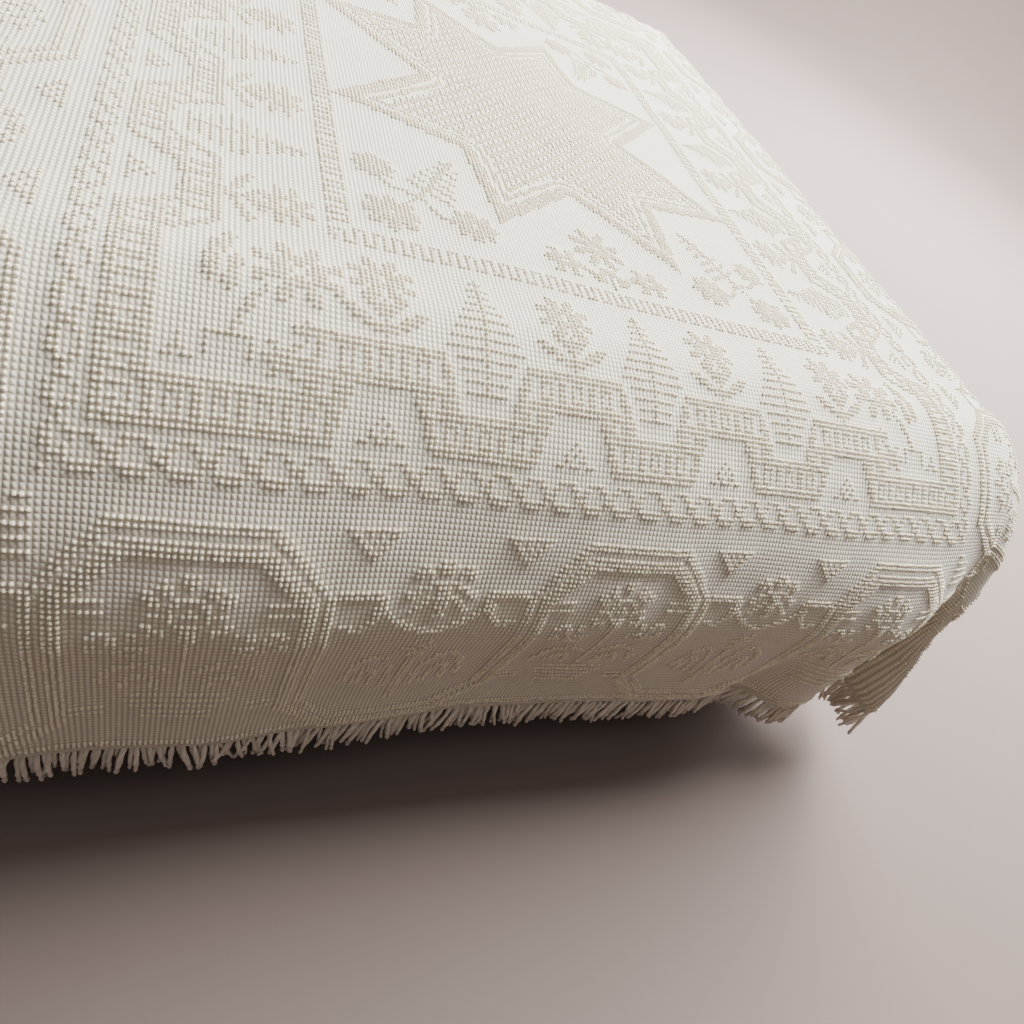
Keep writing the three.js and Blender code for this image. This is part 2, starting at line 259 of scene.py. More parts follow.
ROPE_CHART = (
    "###.",
    "#.#.",
    "#.#.",
    "#.#.",
    "#.##",
)
BOX_FLOWER_CHART = (
    ".###.",
    ".#.#.",
    ".#.#.",
    ".###.",
)
CHAIN_CHART = (
    "..####.",
    ".##..##",
    "##....#",
    "##....#",
    ".######",
    "..####.",
)
TRIANGLE_CHART = (
    "###########",
    ".##.#.#.##.",
    "..##.#.##..",
    "...##.##...",
    "....###....",
    ".....#.....",
)
PYRAMID_CHART = (
    "....#....",
    "...#.#...",
    "..#.#.#..",
    "..##.##..",
    "##.###.##",
)
VASE_FLOWER_CHART = (
    "......###......",
    "...#..###..#...",
    "..###..#..###..",
    "##.##.....##.##",
    "###..#####..###",
    ".##.##...##.##.",
    "....#..#..#....",
    ".####.###.####.",
    "....#.....#....",
    "##...#####...##",
    ".###..###..###.",
    "...#..###..#...",
    "......###......",
)
VASE_LEAF_CHART = (
    ".###..##.#",
    "##.##.##..",
    "...##.....",
    "##..#.####",
    "###.##..##",
    "....####..",
)
SWAG_FLOWER_CHART = (
    "......###......",
    "..##.#####.##..",
    ".####.###.####.",
    ".##.#.....#.##.",
    "....#######....",
    "..###.###.###..",
    "###...###...###",
    "##..#######..##",
    "...##.###.##...",
    "..##..###..##..",
    ".##....#....##.",
    "......###......",
)
# Where the motifs begin, in tufts outwards from the rope.
ROPE_TOP = -2
RAISED_TOP = 25
LOW_TOP = 35
PYRAMID_TOP = 37
CHAIN_TOP = 44
FRAME_TOP = 55
SWAG_TOP = 60
VASE_TOP = 63
VASE_LEAF_TOP = 74
HEM_TOP = 111.5
HEM_ROWS = 2

# The stepped band: its boxes and walls, and the places of its raised and low blocks.
BOX_PITCH = 7
BOX_TALL = 8
BOX_WALL = 3.5
WALL_TUFTS = 2
CORNER_BOXES = 9
Band = namedtuple("Band", "flowers firs corner")
FOOT_BAND = Band((20, 60), (0, 40), 69)
SIDE_BAND = Band((0, 46, 92), (23, 69), 103)
# Half the width of its lines. Then half the length of a raised block and of a low one, along the
# wall nearer the rope and along the wall nearer the hem, and the ends of the shelves between them.
WALL_HALF = 1.0
SHELF_HALF = 0.6
RAISED_HALVES = (10.7, 5.7)
LOW_HALVES = (5.7, 9.8)
SHELF_ENDS = (12.8, 8)

# Triangles of the outer border, and the bars at its foot corners, in tufts along.
FOOT_TRIANGLES = (27, 59)
SIDE_TRIANGLES = (14, 73, 105)
CORNER_BARS = (112, 119)
CORNER_BAR_ROWS = range(FRAME_TOP - 2, FRAME_TOP + 8, 2)

# Bars of a fir tree: place outwards from the rope, and half width.
FIR_BARS = [
    (6, 0), (7, 1), (9, 2), (11, 2), (13, 3), (15, 4), (17, 5), (19, 6), (21, 7), (23, 8),
    (25, 6), (27, 5), (29, 4), (31, 4),
]

# Petals of the drawn flowers: their number, inner and outer radius in columns, half width and the
# turn of the first. Ring at a flower's heart: its radius and half width.
STEM_FLOWER_OUT = 11.5
STEM_FLOWER_PETALS = (8, 3.2, 6.2, 1.3, math.pi / 8)
STEM_FLOWER_RING = (1.6, 0.6)
STEP_FLOWER_RING = (1.5, 0.6)
SWAG_ROSETTE_OUT = 81
SWAG_ROSETTE_PETALS = (6, 1.2, 3.4, 0.7)

# Lines of the drawn motifs: half the width, and points along from the motif's middle and outwards
# from the rope. Each line is drawn at both sides of the middle.
STEM_FLOWER_LINES = [
    (0.9, [(3.5, 16.5), (0.5, 19.5)]),
    (1.1, [(1, 23), (4, 21), (7.5, 19)]),
    (0.6, [(4, 22), (7, 20)]),
    (0.6, [(0, 17), (0, 25)]),
]
VASE_LINES = [
    (0.8, [(0, 76), (0, 92)]),
    (0.8, [(2, 85), (7, 82), (12, 84), (14, 89)]),
    (0.8, [(4, 91), (5, 87), (8, 86), (10, 90)]),
]
VASE_LEAF_OUT = 11.5
VASE_POT_BARS = [(93, 8), (95, 9), (97, 8), (99, 6), (101, 6)]
SWAG_LINES = [
    (0.8, [(0, 75), (4, 74), (8, 72), (10.5, 69), (11.5, 66)]),
    (0.8, [(11.5, 68), (12.5, 72), (15, 74), (18, 73)]),
    (0.8, [(3, 98), (3.5, 90), (6, 85), (9, 84), (12, 87), (13, 94)]),
    (0.8, [(6, 97), (7, 91), (9, 89), (10.5, 96)]),
    (0.7, [(0, 86), (0, 104)]),
]
# The ribbon that winds round the outer border: half of one wave, from the middle of a raised
# frame to the middle of a hanging one.
WAVE = 44.5
RIBBON_LINES = [
    (1.0, [(0, 55.5), (12.5, 55.5), (23.5, 67), (23.5, 100), (32.5, 109.5), (WAVE, 109.5)]),
    (1.5, [(0, 59), (11, 59), (20, 68), (20, 101.5), (31, 113), (WAVE, 113)]),
]
# Bars beside the ribbon: first and last tuft along, and first and last outwards.
RIBBON_BARS = [
    (13, 19, 68, 68), (13, 19, 70, 70), (13, 19, 97, 97), (13, 19, 99, 99), (25, 33, 66, 67),
]

# Flowers of the field are counted in tufts along and outwards from the middle of the sheet.
AXIS_FLOWER = (0, 67)
AXIS_FLOWER_PETALS = (8, 2.8, 7.2, 1.3, math.pi / 8)
AXIS_FLOWER_RING = (1.4, 0.6)
AXIS_FLOWER_LINES = [
    (1.1, [(1.5, 75), (3, 80), (6, 77)]),
    (0.7, [(7, 76), (9, 77)]),
    (0.7, [(0, 75), (0, 82)]),
]
AXIS_SMALL_FLOWER = (12.5, 76)
AXIS_SMALL_PETALS = (6, 2.0, 5, 1.2)
# The spray, from its root: rosettes with their radii, stems, and leaves. Each leaf is a step
# farther up than the last one and a little shorter.
SPRAY_ROOT = (47, 66)
SPRAY_ROSETTES = [((10, -8), 4.2), ((8, 9), 5.6), ((-12, 6), 5)]
SPRAY_STEMS = [
    [(0, 0), (6, -1), (9.5, -4)],
    [(0, 0), (5, 5)],
    [(0, 0), (-3, 5), (-7, 7)],
    [(0, 0), (-4, -7), (-11, -19)],
]
SPRAY_STEM_HALF = 0.7
SPRAY_LEAVES = 6
FIRST_LEAF = (-2, -3)
LEAF_STEP = (-1.5, -2.6)
LEAF_REACH = 5.5
LEAF_SHORTER = 0.6
# The bouquet's flowers and lines, along from the middle of the sheet and outwards from the rope.
BOUQUET_RING = (1.6, 0.65)
BOUQUET_FLOWERS = [
    ((75.5, 14.5), 8, 3.4, 7.6, 1.35, math.pi / 8),
    ((74, 25.5), 4, 0, 2, 0.8, 0.0),
    ((77.5, 30.5), 6, 1.2, 3.6, 0.8, 0.0),
    ((94, 31), 3, 0, 2.4, 0.8, -math.pi / 2),
]
BOUQUET_LINES = [
    (0.9, [(81, 19.5), (84, 23), (86, 27)]),
    (1.3, [(87, 9), (88.5, 13)]),
    (1.3, [(89.5, 12), (90, 19)]),
    (1.3, [(86, 15), (87, 20)]),
    (0.8, [(83, 31), (83, 28), (90, 28), (90, 31)]),
]


class ChartPart:
    """A part of the quarter chart with its own measures along and outwards, in tufts."""

    def __init__(self, chart, along, out, inside, half_tuft=0.5):
        self.chart = chart
        self.along = along
        self.out = out
        self.inside = inside
        self.half_tuft = half_tuft

    def mark(self, where):
        """Raises the tufts of a place, as far as they are inside this part."""
        self.chart[where & self.inside] = True

    def block(self, first, last, top, bottom):
        """Every tuft of a rectangle."""
        half = self.half_tuft
        wide = (self.along >= first - half) & (self.along < last + half)
        tall = (self.out >= top - half) & (self.out < bottom + half)
        self.mark(wide & tall)

    def repeat(self, rows, top, centre=None):
        """A small chart: once about a centre, or over and over along the border."""
        wide = len(rows[0])
        cells = np.array([[mark == "#" for mark in row] for row in rows])
        down = np.floor(self.out - top + 0.5).astype(int)
        right = np.floor(self.along - (centre or 0) + wide // 2 + 0.5).astype(int)
        fits = (down >= 0) & (down < len(rows))
        if centre is not None:
            fits &= (right >= 0) & (right < wide)
        found = cells[np.clip(down, 0, len(rows) - 1), right % wide]
        self.mark(fits & found)

    def distance(self, start, end):
        """Distance of each tuft from a line, in columns."""
        stretch = ALONG / ACROSS
        x = self.along - start[0]
        y = (self.out - start[1]) * stretch
        run = end[0] - start[0]
        rise = (end[1] - start[1]) * stretch
        length = max(run * run + rise * rise, 1e-9)
        share = np.clip((x * run + y * rise) / length, 0, 1)
        return np.hypot(x - share * run, y - share * rise)

    def stroke(self, points, half_width):
        """The tufts along a line through the points."""
        for start, end in zip(points, points[1:]):
            self.mark(self.distance(start, end) <= half_width)

    def mirrored(self, centre, lines):
        """Lines of a motif, at both sides of its middle."""
        for half_width, line in lines:
            for side in (-1, 1):
                self.stroke([(centre + side * x, y) for x, y in line], half_width)

    def petals(self, centre, count, inner, outer, half_width, first=0.0):
        """Straight petals round a centre, between two radii in columns."""
        for petal in range(count):
            angle = first + 2 * math.pi * petal / count
            reach = (math.cos(angle), math.sin(angle) * ACROSS / ALONG)
            ends = [(centre[0] + r * reach[0], centre[1] + r * reach[1]) for r in (inner, outer)]
            self.stroke(ends, half_width)

    def ring(self, centre, radius, half_width):
        """The tufts of a round ring."""
        away = self.distance(centre, centre)
        self.mark(np.abs(away - radius) <= half_width)


def draw_block(part, centre, top):
    """Three boxes side by side, each with a small flower."""
    for wall in (-BOX_WALL, BOX_WALL):
        first = centre + wall - 0.5
        part.block(first, first + 1, top, top + BOX_TALL - 1)
    for box in (-1, 0, 1):
        part.repeat(BOX_FLOWER_CHART, top + WALL_TUFTS, centre + box * BOX_PITCH)


def draw_steps(part, centre, spacing):
    """The band's walls from the middle of a raised block to those of the low ones beside it."""
    tops = (RAISED_TOP + 0.5, RAISED_TOP + 0.5 + BOX_TALL - WALL_TUFTS)
    drop = LOW_TOP - RAISED_TOP
    walls = []
    for out, raised, low in zip(tops, RAISED_HALVES, LOW_HALVES):
        wall = [(0, out), (raised, out), (spacing - low, out + drop), (spacing, out + drop)]
        walls.append((WALL_HALF, wall))
    upper, lower = tops
    shelf = upper + drop
    walls.append((SHELF_HALF, [(RAISED_HALVES[1], lower), (SHELF_ENDS[0], lower)]))
    walls.append((SHELF_HALF, [(SHELF_ENDS[1], shelf), (spacing - LOW_HALVES[0], shelf)]))
    part.mirrored(centre, walls)
    for side in (-1, 1):
        part.ring((centre + side * spacing / 2, (lower + shelf) / 2), *STEP_FLOWER_RING)


def draw_fir(part, centre):
    """A fir tree of bars on a trunk."""
    for out, reach in FIR_BARS:
        part.block(centre - reach, centre + reach, out, out)
    part.block(centre, centre, FIR_BARS[0][0], FIR_BARS[-1][0])


def draw_stem_flower(part, centre):
    """A round flower of eight petals on a stem with two leaves."""
    heart = (centre, STEM_FLOWER_OUT)
    part.petals(heart, *STEM_FLOWER_PETALS)
    part.ring(heart, *STEM_FLOWER_RING)
    part.mirrored(centre, STEM_FLOWER_LINES)


def draw_band(part, band):
    """The stepped band of boxes, raised under the flowers and low under the firs."""
    for centre in band.flowers:
        draw_block(part, centre, RAISED_TOP)
        draw_steps(part, centre, abs(band.flowers[0] - band.firs[0]))
        draw_stem_flower(part, centre)
        part.repeat(PYRAMID_CHART, PYRAMID_TOP, centre)
    for centre in band.firs:
        draw_block(part, centre, LOW_TOP)
        draw_fir(part, centre)
    reach = band.corner + CORNER_BOXES * BOX_PITCH
    bottom = LOW_TOP + BOX_TALL - 1
    part.block(band.corner, reach, LOW_TOP, LOW_TOP + 1)
    part.block(band.corner, reach, bottom - 1, bottom)
    for box in range(CORNER_BOXES):
        column = band.corner + box * BOX_PITCH
        part.block(column, column + 1, LOW_TOP, bottom)
        part.repeat(BOX_FLOWER_CHART, LOW_TOP + WALL_TUFTS, column + BOX_PITCH / 2 + 0.5)


def draw_ribbon(part, frames):
    """Two lines side by side that go up round each frame and down between the frames."""
    for centre in frames:
        part.mirrored(centre, RIBBON_LINES)
        for first, last, top, bottom in RIBBON_BARS:
            part.block(centre + first, centre + last, top, bottom)
            part.block(centre - last, centre - first, top, bottom)
        draw_vase(part, centre)
        draw_swag(part, centre + WAVE)
        draw_swag(part, centre - WAVE)


def draw_vase(part, centre):
    """A large flower with leaves over a footed pot."""
    part.repeat(VASE_FLOWER_CHART, VASE_TOP, centre)
    part.repeat(VASE_LEAF_CHART, VASE_LEAF_TOP, centre - VASE_LEAF_OUT)
    mirrored = [row[::-1] for row in VASE_LEAF_CHART]
    part.repeat(mirrored, VASE_LEAF_TOP, centre + VASE_LEAF_OUT)
    part.mirrored(centre, VASE_LINES)
    for out, reach in VASE_POT_BARS:
        part.block(centre - reach, centre + reach, out, out)


def draw_swag(part, centre):
    """A flower over a hanging swag, with two tulips below, inside a hanging frame."""
    part.repeat(SWAG_FLOWER_CHART, SWAG_TOP, centre)
    part.mirrored(centre, SWAG_LINES)
    part.petals((centre, SWAG_ROSETTE_OUT), *SWAG_ROSETTE_PETALS)


def draw_spray(part):
    """A branching spray in the corner of the field: three rosettes and a plume of leaves."""
    x, y = SPRAY_ROOT
    for (right, out), radius in SPRAY_ROSETTES:
        part.petals((x + right, y + out), 8, 2.0, radius, 1.25)
    for stem in SPRAY_STEMS:
        part.stroke([(x + right, y + out) for right, out in stem], SPRAY_STEM_HALF)
    for leaf in range(SPRAY_LEAVES):
        right = x + FIRST_LEAF[0] + LEAF_STEP[0] * leaf
        out = y + FIRST_LEAF[1] + LEAF_STEP[1] * leaf
        reach = LEAF_REACH - LEAF_SHORTER * leaf
        for tip in ((right - reach, out + 0.5 * reach), (right + 0.7 * reach, out - 0.6 * reach)):
            part.stroke([(right, out), tip], SPRAY_STEM_HALF)


def draw_axis_flower(part):
    """A flower on the middle line of the field with a smaller one at either side."""
    part.petals(AXIS_FLOWER, *AXIS_FLOWER_PETALS)
    part.ring(AXIS_FLOWER, *AXIS_FLOWER_RING)
    part.mirrored(0, AXIS_FLOWER_LINES)
    along, out = AXIS_SMALL_FLOWER
    for side in (-1, 1):
        part.petals((side * along, out), *AXIS_SMALL_PETALS)


def draw_corner_bouquet(part):
    """A large flower with a leafy stem between the rope's corner and the stepped band."""
    for flower in BOUQUET_FLOWERS:
        part.petals(*flower)
    part.ring(BOUQUET_FLOWERS[0][0], *BOUQUET_RING)
    for half_width, line in BOUQUET_LINES:
        part.stroke(line, half_width)


# A quarter of the star's outline, in tufts across and along from its middle.
STAR_OUTLINE = [(0, 44), (27, 67), (31, 37), (64, 30), (36, 0)]
# Bands of the star from its edge inwards, in columns: where each begins and ends.
STAR_BANDS = [(0.0, 4.1), (5.3, 6.9)]
STAR_FILLING = 8.0
PEBBLE_CHART = (
    "##.#",
    "##.#",
    ".###",
    ".###",
)


def draw_star(chart, column, row):
    """An eight-pointed star: two full bands along its edge, and a pebbled filling."""
    inside = np.zeros(chart.shape, bool)
    inset = np.full(chart.shape, np.inf)
    whole = ChartPart(chart, column, row, True)
    for start, end in zip(STAR_OUTLINE, STAR_OUTLINE[1:]):
        run = (end[0] - start[0], end[1] - start[1])
        after_start = column * start[1] >= row * start[0]
        before_end = column * end[1] <= row * end[0]
        within = run[0] * (row - start[1]) <= run[1] * (column - start[0])
        inside |= after_start & before_end & within
        inset = np.minimum(inset, whole.distance(start, end))
    for first, last in STAR_BANDS:
        chart[inside & (inset >= first) & (inset < last)] = True
    pebbles = ChartPart(chart, column, row, inside & (inset >= STAR_FILLING))
    for top in range(0, ROWS, len(PEBBLE_CHART)):
        pebbles.repeat(PEBBLE_CHART, top)


def raised_tufts():
    """The quarter chart of raised tufts, with the foot and side borders' outward measures."""
    column, row = np.meshgrid(np.arange(COLUMNS + 1.0), np.arange(ROWS + 1.0))
    chart = np.zeros(column.shape, bool)
    foot_out = row - ROPE_ROW
    side_out = np.interp(column - ROPE_COLUMN, SIDE_OUT, FOOT_OUT, left=INSIDE_ROPE)
    at_foot = foot_out >= side_out
    out = np.maximum(foot_out, side_out)
    foot = ChartPart(chart, column, foot_out, at_foot)
    side = ChartPart(chart, row * ALONG / ACROSS, side_out, ~at_foot, SIDE_HALF_TUFT)
    field = ChartPart(chart, column, row, out < ROPE_TOP)
    draw_star(chart, column, row)
    draw_axis_flower(field)
    draw_spray(field)
    draw_corner_bouquet(ChartPart(chart, column, foot_out, out > -ROPE_TOP))
    borders = (
        (foot, FOOT_BAND, (0, 2 * WAVE), FOOT_TRIANGLES),
        (side, SIDE_BAND, (WAVE, 3 * WAVE), SIDE_TRIANGLES),
    )
    for border, band, frames, triangles in borders:
        border.repeat(ROPE_CHART, ROPE_TOP)
        border.repeat(CHAIN_CHART, CHAIN_TOP)
        draw_band(border, band)
        draw_ribbon(border, frames)
        for centre in triangles:
            border.repeat(TRIANGLE_CHART, FRAME_TOP, centre)
        border.mark((border.out >= HEM_TOP) & (border.out < HEM_TOP + HEM_ROWS))
    for bar in CORNER_BAR_ROWS:
        foot.block(*CORNER_BARS, bar, bar)
    return chart, foot_out, side_out


# The drape.


def smooth(value, start, full):
    """0 below start, 1 above full, and a soft step between them."""
    share = np.clip((value - start) / (full - start), 0, 1)
    return share * share * (3 - 2 * share)


def between(first, last, share):
    """The value at a share of the way from first to last."""
    return first + (last - first) * share


def over_shoulder(travel, reach, fall, power):
    """Distance out and down after a travel over the bed's edge, and then straight down."""
    bend = np.linspace(0, np.pi / 2, SHOULDER_STEPS + 1)
    exponent = 2 / power[:, None]
    outs = reach[:, None] * np.sin(bend) ** exponent
    downs = fall[:, None] * (1 - np.clip(np.cos(bend), 0, None) ** exponent)
    strides = np.hypot(np.diff(outs), np.diff(downs))
    walked = np.cumsum(strides, axis=1) - strides
    step = np.clip((walked <= travel[:, None]).sum(axis=1) - 1, 0, SHOULDER_STEPS - 1)
    row = np.arange(len(travel))
    share = np.clip((travel - walked[row, step]) / strides[row, step], 0, 1)
    past = np.maximum(0, travel - strides.sum(axis=1))
    out = between(outs[row, step], outs[row, step + 1], share)
    down = between(downs[row, step], downs[row, step + 1], share)
    return out, down + past


def fold_push(folds, place, travel):
    """How far the folds push the hanging cloth outwards."""
    push = np.zeros_like(place)
    for fold in folds:
        bump = np.exp(-((place - fold.at) / fold.width) ** 2)
        push += fold.depth * bump * smooth(travel, fold.start, fold.full)
    return push


def swelling(u, v):
    """Slack of the cloth: from nothing to about four millimetres."""
    height = np.zeros_like(u)
    for swell in SWELLS:
        turn = math.radians(swell.heading)
        walk = u * math.cos(turn) + v * math.sin(turn)
        height += swell.height * (1 + np.sin(2 * np.pi * walk / swell.length + swell.phase))
    return height


def pucker_chart():
    """How far the tufts draw the cloth up round them, as a softened quarter chart from 0 to 1."""
    soft = raised_tufts()[0].astype(float)
    for _ in range(PUCKER_PASSES):
        for axis in (0, 1):
            places = np.arange(soft.shape[axis])
            before = np.take(soft, np.maximum(places - 1, 0), axis)
            after = np.take(soft, np.minimum(places + 1, places[-1]), axis)
            soft = (before + 2 * soft + after) / 4
    return soft


PUCKER = pucker_chart()


def puckering(u, v):
    """Rise of the cloth among its raised tufts, read between the places of the chart."""
    column = np.clip(np.abs(u) / ACROSS, 0, COLUMNS - 0.001)
    row = np.clip(np.abs(v) / ALONG, 0, ROWS - 0.001)
    left = column.astype(int)
    low = row.astype(int)
    across = column - left
    near = between(PUCKER[low, left], PUCKER[low, left + 1], across)
    far = between(PUCKER[low + 1, left], PUCKER[low + 1, left + 1], across)
    return PUCKER_RISE * between(near, far, row - low)


def drape(u, v):
    """Points of the cloth's outer face over the flat points u, v, in metres in the frame."""
    side = np.where(u < 0, -1.0, 1.0)
    at_foot = v < 0
    end = np.where(at_foot, -1.0, 1.0)
    field = np.where(at_foot, FIELD_TO_FOOT, FIELD_TO_HEAD)
    shoulder = [np.where(at_foot, foot, head) for foot, head in zip(FOOT_SHOULDER, SIDE_SHOULDER)]
    over_side = np.maximum(0, np.abs(u) - FIELD_HALF_WIDTH)
    over_end = np.maximum(0, np.abs(v) - field)
    travel = np.hypot(over_side, over_end)
    turn = np.arctan2(over_side, over_end)
    sine = np.sin(turn)
    cosine = np.cos(turn)
    blend = smooth(turn, 0, np.pi / 2)
    reach = 1 / np.hypot(sine / SIDE_SHOULDER.reach, cosine / shoulder[0])
    fall = between(shoulder[1], SIDE_SHOULDER.fall, blend)
    power = between(shoulder[2], SIDE_SHOULDER.power, blend)
    out, down = over_shoulder(travel, reach, fall, power)
    out += fold_push(SIDE_FOLDS, v, travel) * smooth(turn, SIDE_FOLDS_START, np.pi / 2)
    folds_gone = FOOT_FOLDS_END + FOOT_FOLDS_FADE
    past_field = np.tan(np.minimum(turn, folds_gone)) * (HALF_LENGTH - FIELD_TO_FOOT)
    hem_place = np.where(over_side > 0, side * (FIELD_HALF_WIDTH + past_field), u)
    foot_push = fold_push(FOOT_FOLDS, hem_place, travel)
    foot_push *= 1 - smooth(turn, FOOT_FOLDS_END, folds_gone)
    foot_push += FOOT_CORNER_BULGE * np.sin(2 * turn) ** 2 * smooth(travel, 0, FOOT_CORNER_FULL)
    ear = np.exp(-((turn - np.pi / 4) / HEAD_EAR_SPREAD) ** 2)
    head_push = HEAD_EAR_DEPTH * ear * smooth(travel, HEAD_EAR_START, HEAD_EAR_FULL)
    out += np.where(at_foot, foot_push, head_push)
    swell = swelling(u, v)
    pucker = puckering(u, v)
    hanging = smooth(travel, 0, FOOT_SHOULDER.reach)
    out += (SWELL_HANGING * swell + pucker) * hanging
    x = np.where(over_side > 0, side * FIELD_HALF_WIDTH, u) + side * out * sine
    y = np.where(over_end > 0, end * field, v) + end * out * cosine
    z = TOP_HEIGHT - down + (swell + pucker) * (1 - hanging)
    return np.stack([x, y, z], axis=-1) * MM + SHEET_PLACE


def unit(vectors):
    """Vectors of length one."""
    return vectors / np.linalg.norm(vectors, axis=-1, keepdims=True)


def cloth_frames(u, v):
    """Points of the cloth with the directions across, along and out of it."""
    across = unit(drape(u + SLOPE_STEP, v) - drape(u - SLOPE_STEP, v))
    along = unit(drape(u, v + SLOPE_STEP) - drape(u, v - SLOPE_STEP))
    return drape(u, v), across, along, unit(np.cross(across, along))


# Materials.


def add_node(tree, kind, inputs=None, **settings):
    """Adds a node with its settings, and fills its sockets with values or links.

    A node given for a socket is linked by its first output.
    """
    node = tree.nodes.new(kind)
    for name, value in settings.items():
        setattr(node, name, value)
    for key, value in (inputs or {}).items():
        if isinstance(value, bpy.types.Node):
            value = value.outputs[0]
        if isinstance(value, bpy.types.NodeSocket):
            tree.links.new(value, node.inputs[key])
        else:
            node.inputs[key].default_value = value
    return node


def new_material(name):
    """An empty node material and its Principled shader."""
    material = bpy.data.materials.new(name)
    material.use_nodes = True
    tree = material.node_tree
    return material, tree, tree.nodes["Principled BSDF"]


def rgba(colour):
    """A colour with full cover, as a colour socket takes it."""
    return (*colour, 1.0)


# Index of the colour sockets of a Mix node, which share their names with its other kinds.
MIX_A, MIX_B, MIX_OUT = 6, 7, 2

# Widths of the patterns: patches of paler and creamier cotton, fuzz of loose fibres, patches of
# fading, clouds of the floor's paint, and threads of the two covers. Fibres and threads are finer
# than a pixel, so the fuzz and the threads are drawn wider than the real ones.
COTTON_PATCH = 111.1 * MM
FIBRE_FUZZ = 1.4286 * MM
FADED_PATCH = 166.67 * MM
PAINT_CLOUD = 833.33 * MM
UPHOLSTERY_THREAD = 4 * MM
TICKING_THREAD = 3 * MM
FUZZ_RISE = 0.6 * MM
THREAD_RISE = 0.4 * MM
# Shapes of the ground's small tufts: powers of their swell across and along, and how much of the
# height is left between two of them along a rib.
RIB_POWER = 1.3
BEAD_POWER = 1.2
BEAD_LOW = 0.25
# Dimmer colours, as shares of the colour: of a cover, for its faded patches and the painted shade
# between its threads, and of the floor's clouds.
COVER_FADE_AND_SHADE = 0.72
FLOOR_DIM = 0.95


def set_finish(shader, **values):
    """Sets sockets of a shader that are the same all over: their names with _ for a space."""
    for name, value in values.items():
        shader.inputs[name.replace("_", " ")].default_value = value


def dress(material, colour, bump=None):
    """Links a material's mixed colour, and its relief if it has one, to its shader."""
    tree = material.node_tree
    shader = tree.nodes["Principled BSDF"]
    tree.links.new(colour.outputs[MIX_OUT], shader.inputs["Base Color"])
    if bump is not None:
        tree.links.new(bump.outputs["Normal"], shader.inputs["Normal"])
    return material


def cotton_finish(shader):
    """Matt cotton: no shine, and a soft bloom of loose fibres at glancing angles."""
    set_finish(
        shader, Roughness=0.95, Specular_IOR_Level=0.2, Sheen_Weight=0.2, Sheen_Roughness=0.6)


def ground_cotton(settings):
    """Woven cotton ground: ribs of small tufts along the warp, with painted shade in the dips
    between them.
    """
    material, tree, shader = new_material("candlewick_cotton_ground")
    cotton_finish(shader)
    counts = add_node(tree, "ShaderNodeUVMap", uv_map="tufts")
    split = add_node(tree, "ShaderNodeSeparateXYZ", {"Vector": counts})
    domes = []
    for axis, power in (("X", RIB_POWER), ("Y", BEAD_POWER)):
        ways = {0: split.outputs[axis], 1: math.pi}
        turn = add_node(tree, "ShaderNodeMath", ways, operation="MULTIPLY")
        wave = add_node(tree, "ShaderNodeMath", {0: turn}, operation="COSINE")
        swell = add_node(tree, "ShaderNodeMath", {0: wave}, operation="ABSOLUTE")
        domes.append(add_node(tree, "ShaderNodeMath", {0: swell, 1: power}, operation="POWER"))
    rib, bead = domes
    bead_share = add_node(
        tree, "ShaderNodeMapRange", {"Value": bead, "To Min": BEAD_LOW, "To Max": 1.0})
    height = add_node(tree, "ShaderNodeMath", {0: rib, 1: bead_share}, operation="MULTIPLY")
    place = add_node(tree, "ShaderNodeTexCoord")
    patches = add_node(tree, "ShaderNodeTexNoise", {
        "Vector": place.outputs["Object"], "Scale": 1 / COTTON_PATCH, "Detail": 3.0,
        "Roughness": 0.55})
    tints = {0: patches, MIX_A: rgba(settings.ground), MIX_B: rgba(settings.second_ground)}
    crown = add_node(tree, "ShaderNodeMix", tints, data_type="RGBA")
    # Painted shade: the lower the bump, the more of the shade colour.
    lift = add_node(
        tree, "ShaderNodeMapRange", {"Value": height, "From Min": 0.05, "From Max": 0.8},
        interpolation_type="SMOOTHSTEP")
    tints = {0: lift, MIX_A: rgba(settings.furrow_shade), MIX_B: crown.outputs[MIX_OUT]}
    colour = add_node(tree, "ShaderNodeMix", tints, data_type="RGBA")
    bump = add_node(tree, "ShaderNodeBump", {
        "Height": height, "Distance": settings.ground_rise, "Strength": 1.0})
    return dress(material, colour, bump)


def yarn_cotton(name, crown_colour, second_colour, shade_colour):
    """Soft cotton yarn: bright crowns, painted shade towards its roots and between its plies, and a
    darker strand here and there.
    """
    material, tree, shader = new_material(name)
    cotton_finish(shader)
    rise = add_node(tree, "ShaderNodeAttribute", attribute_name="rise")
    tone = add_node(tree, "ShaderNodeAttribute", attribute_name="tone")
    tints = {0: tone.outputs["Fac"], MIX_A: rgba(crown_colour), MIX_B: rgba(second_colour)}
    crown = add_node(tree, "ShaderNodeMix", tints, data_type="RGBA")
    # Painted shade: the lower the rise, the more of the shade colour.
    lift = add_node(
        tree, "ShaderNodeMapRange",
        {"Value": rise.outputs["Fac"], "From Min": 0.0, "From Max": 0.7},
        interpolation_type="SMOOTHSTEP")
    tints = {0: lift, MIX_A: rgba(shade_colour), MIX_B: crown.outputs[MIX_OUT]}
    colour = add_node(tree, "ShaderNodeMix", tints, data_type="RGBA")
    place = add_node(tree, "ShaderNodeTexCoord")
    fuzz = add_node(tree, "ShaderNodeTexNoise", {
        "Vector": place.outputs["Object"], "Scale": 1 / FIBRE_FUZZ, "Detail": 1.0})
    bump = add_node(tree, "ShaderNodeBump", {
        "Height": fuzz, "Distance": FUZZ_RISE, "Strength": 0.6})
    return dress(material, colour, bump)


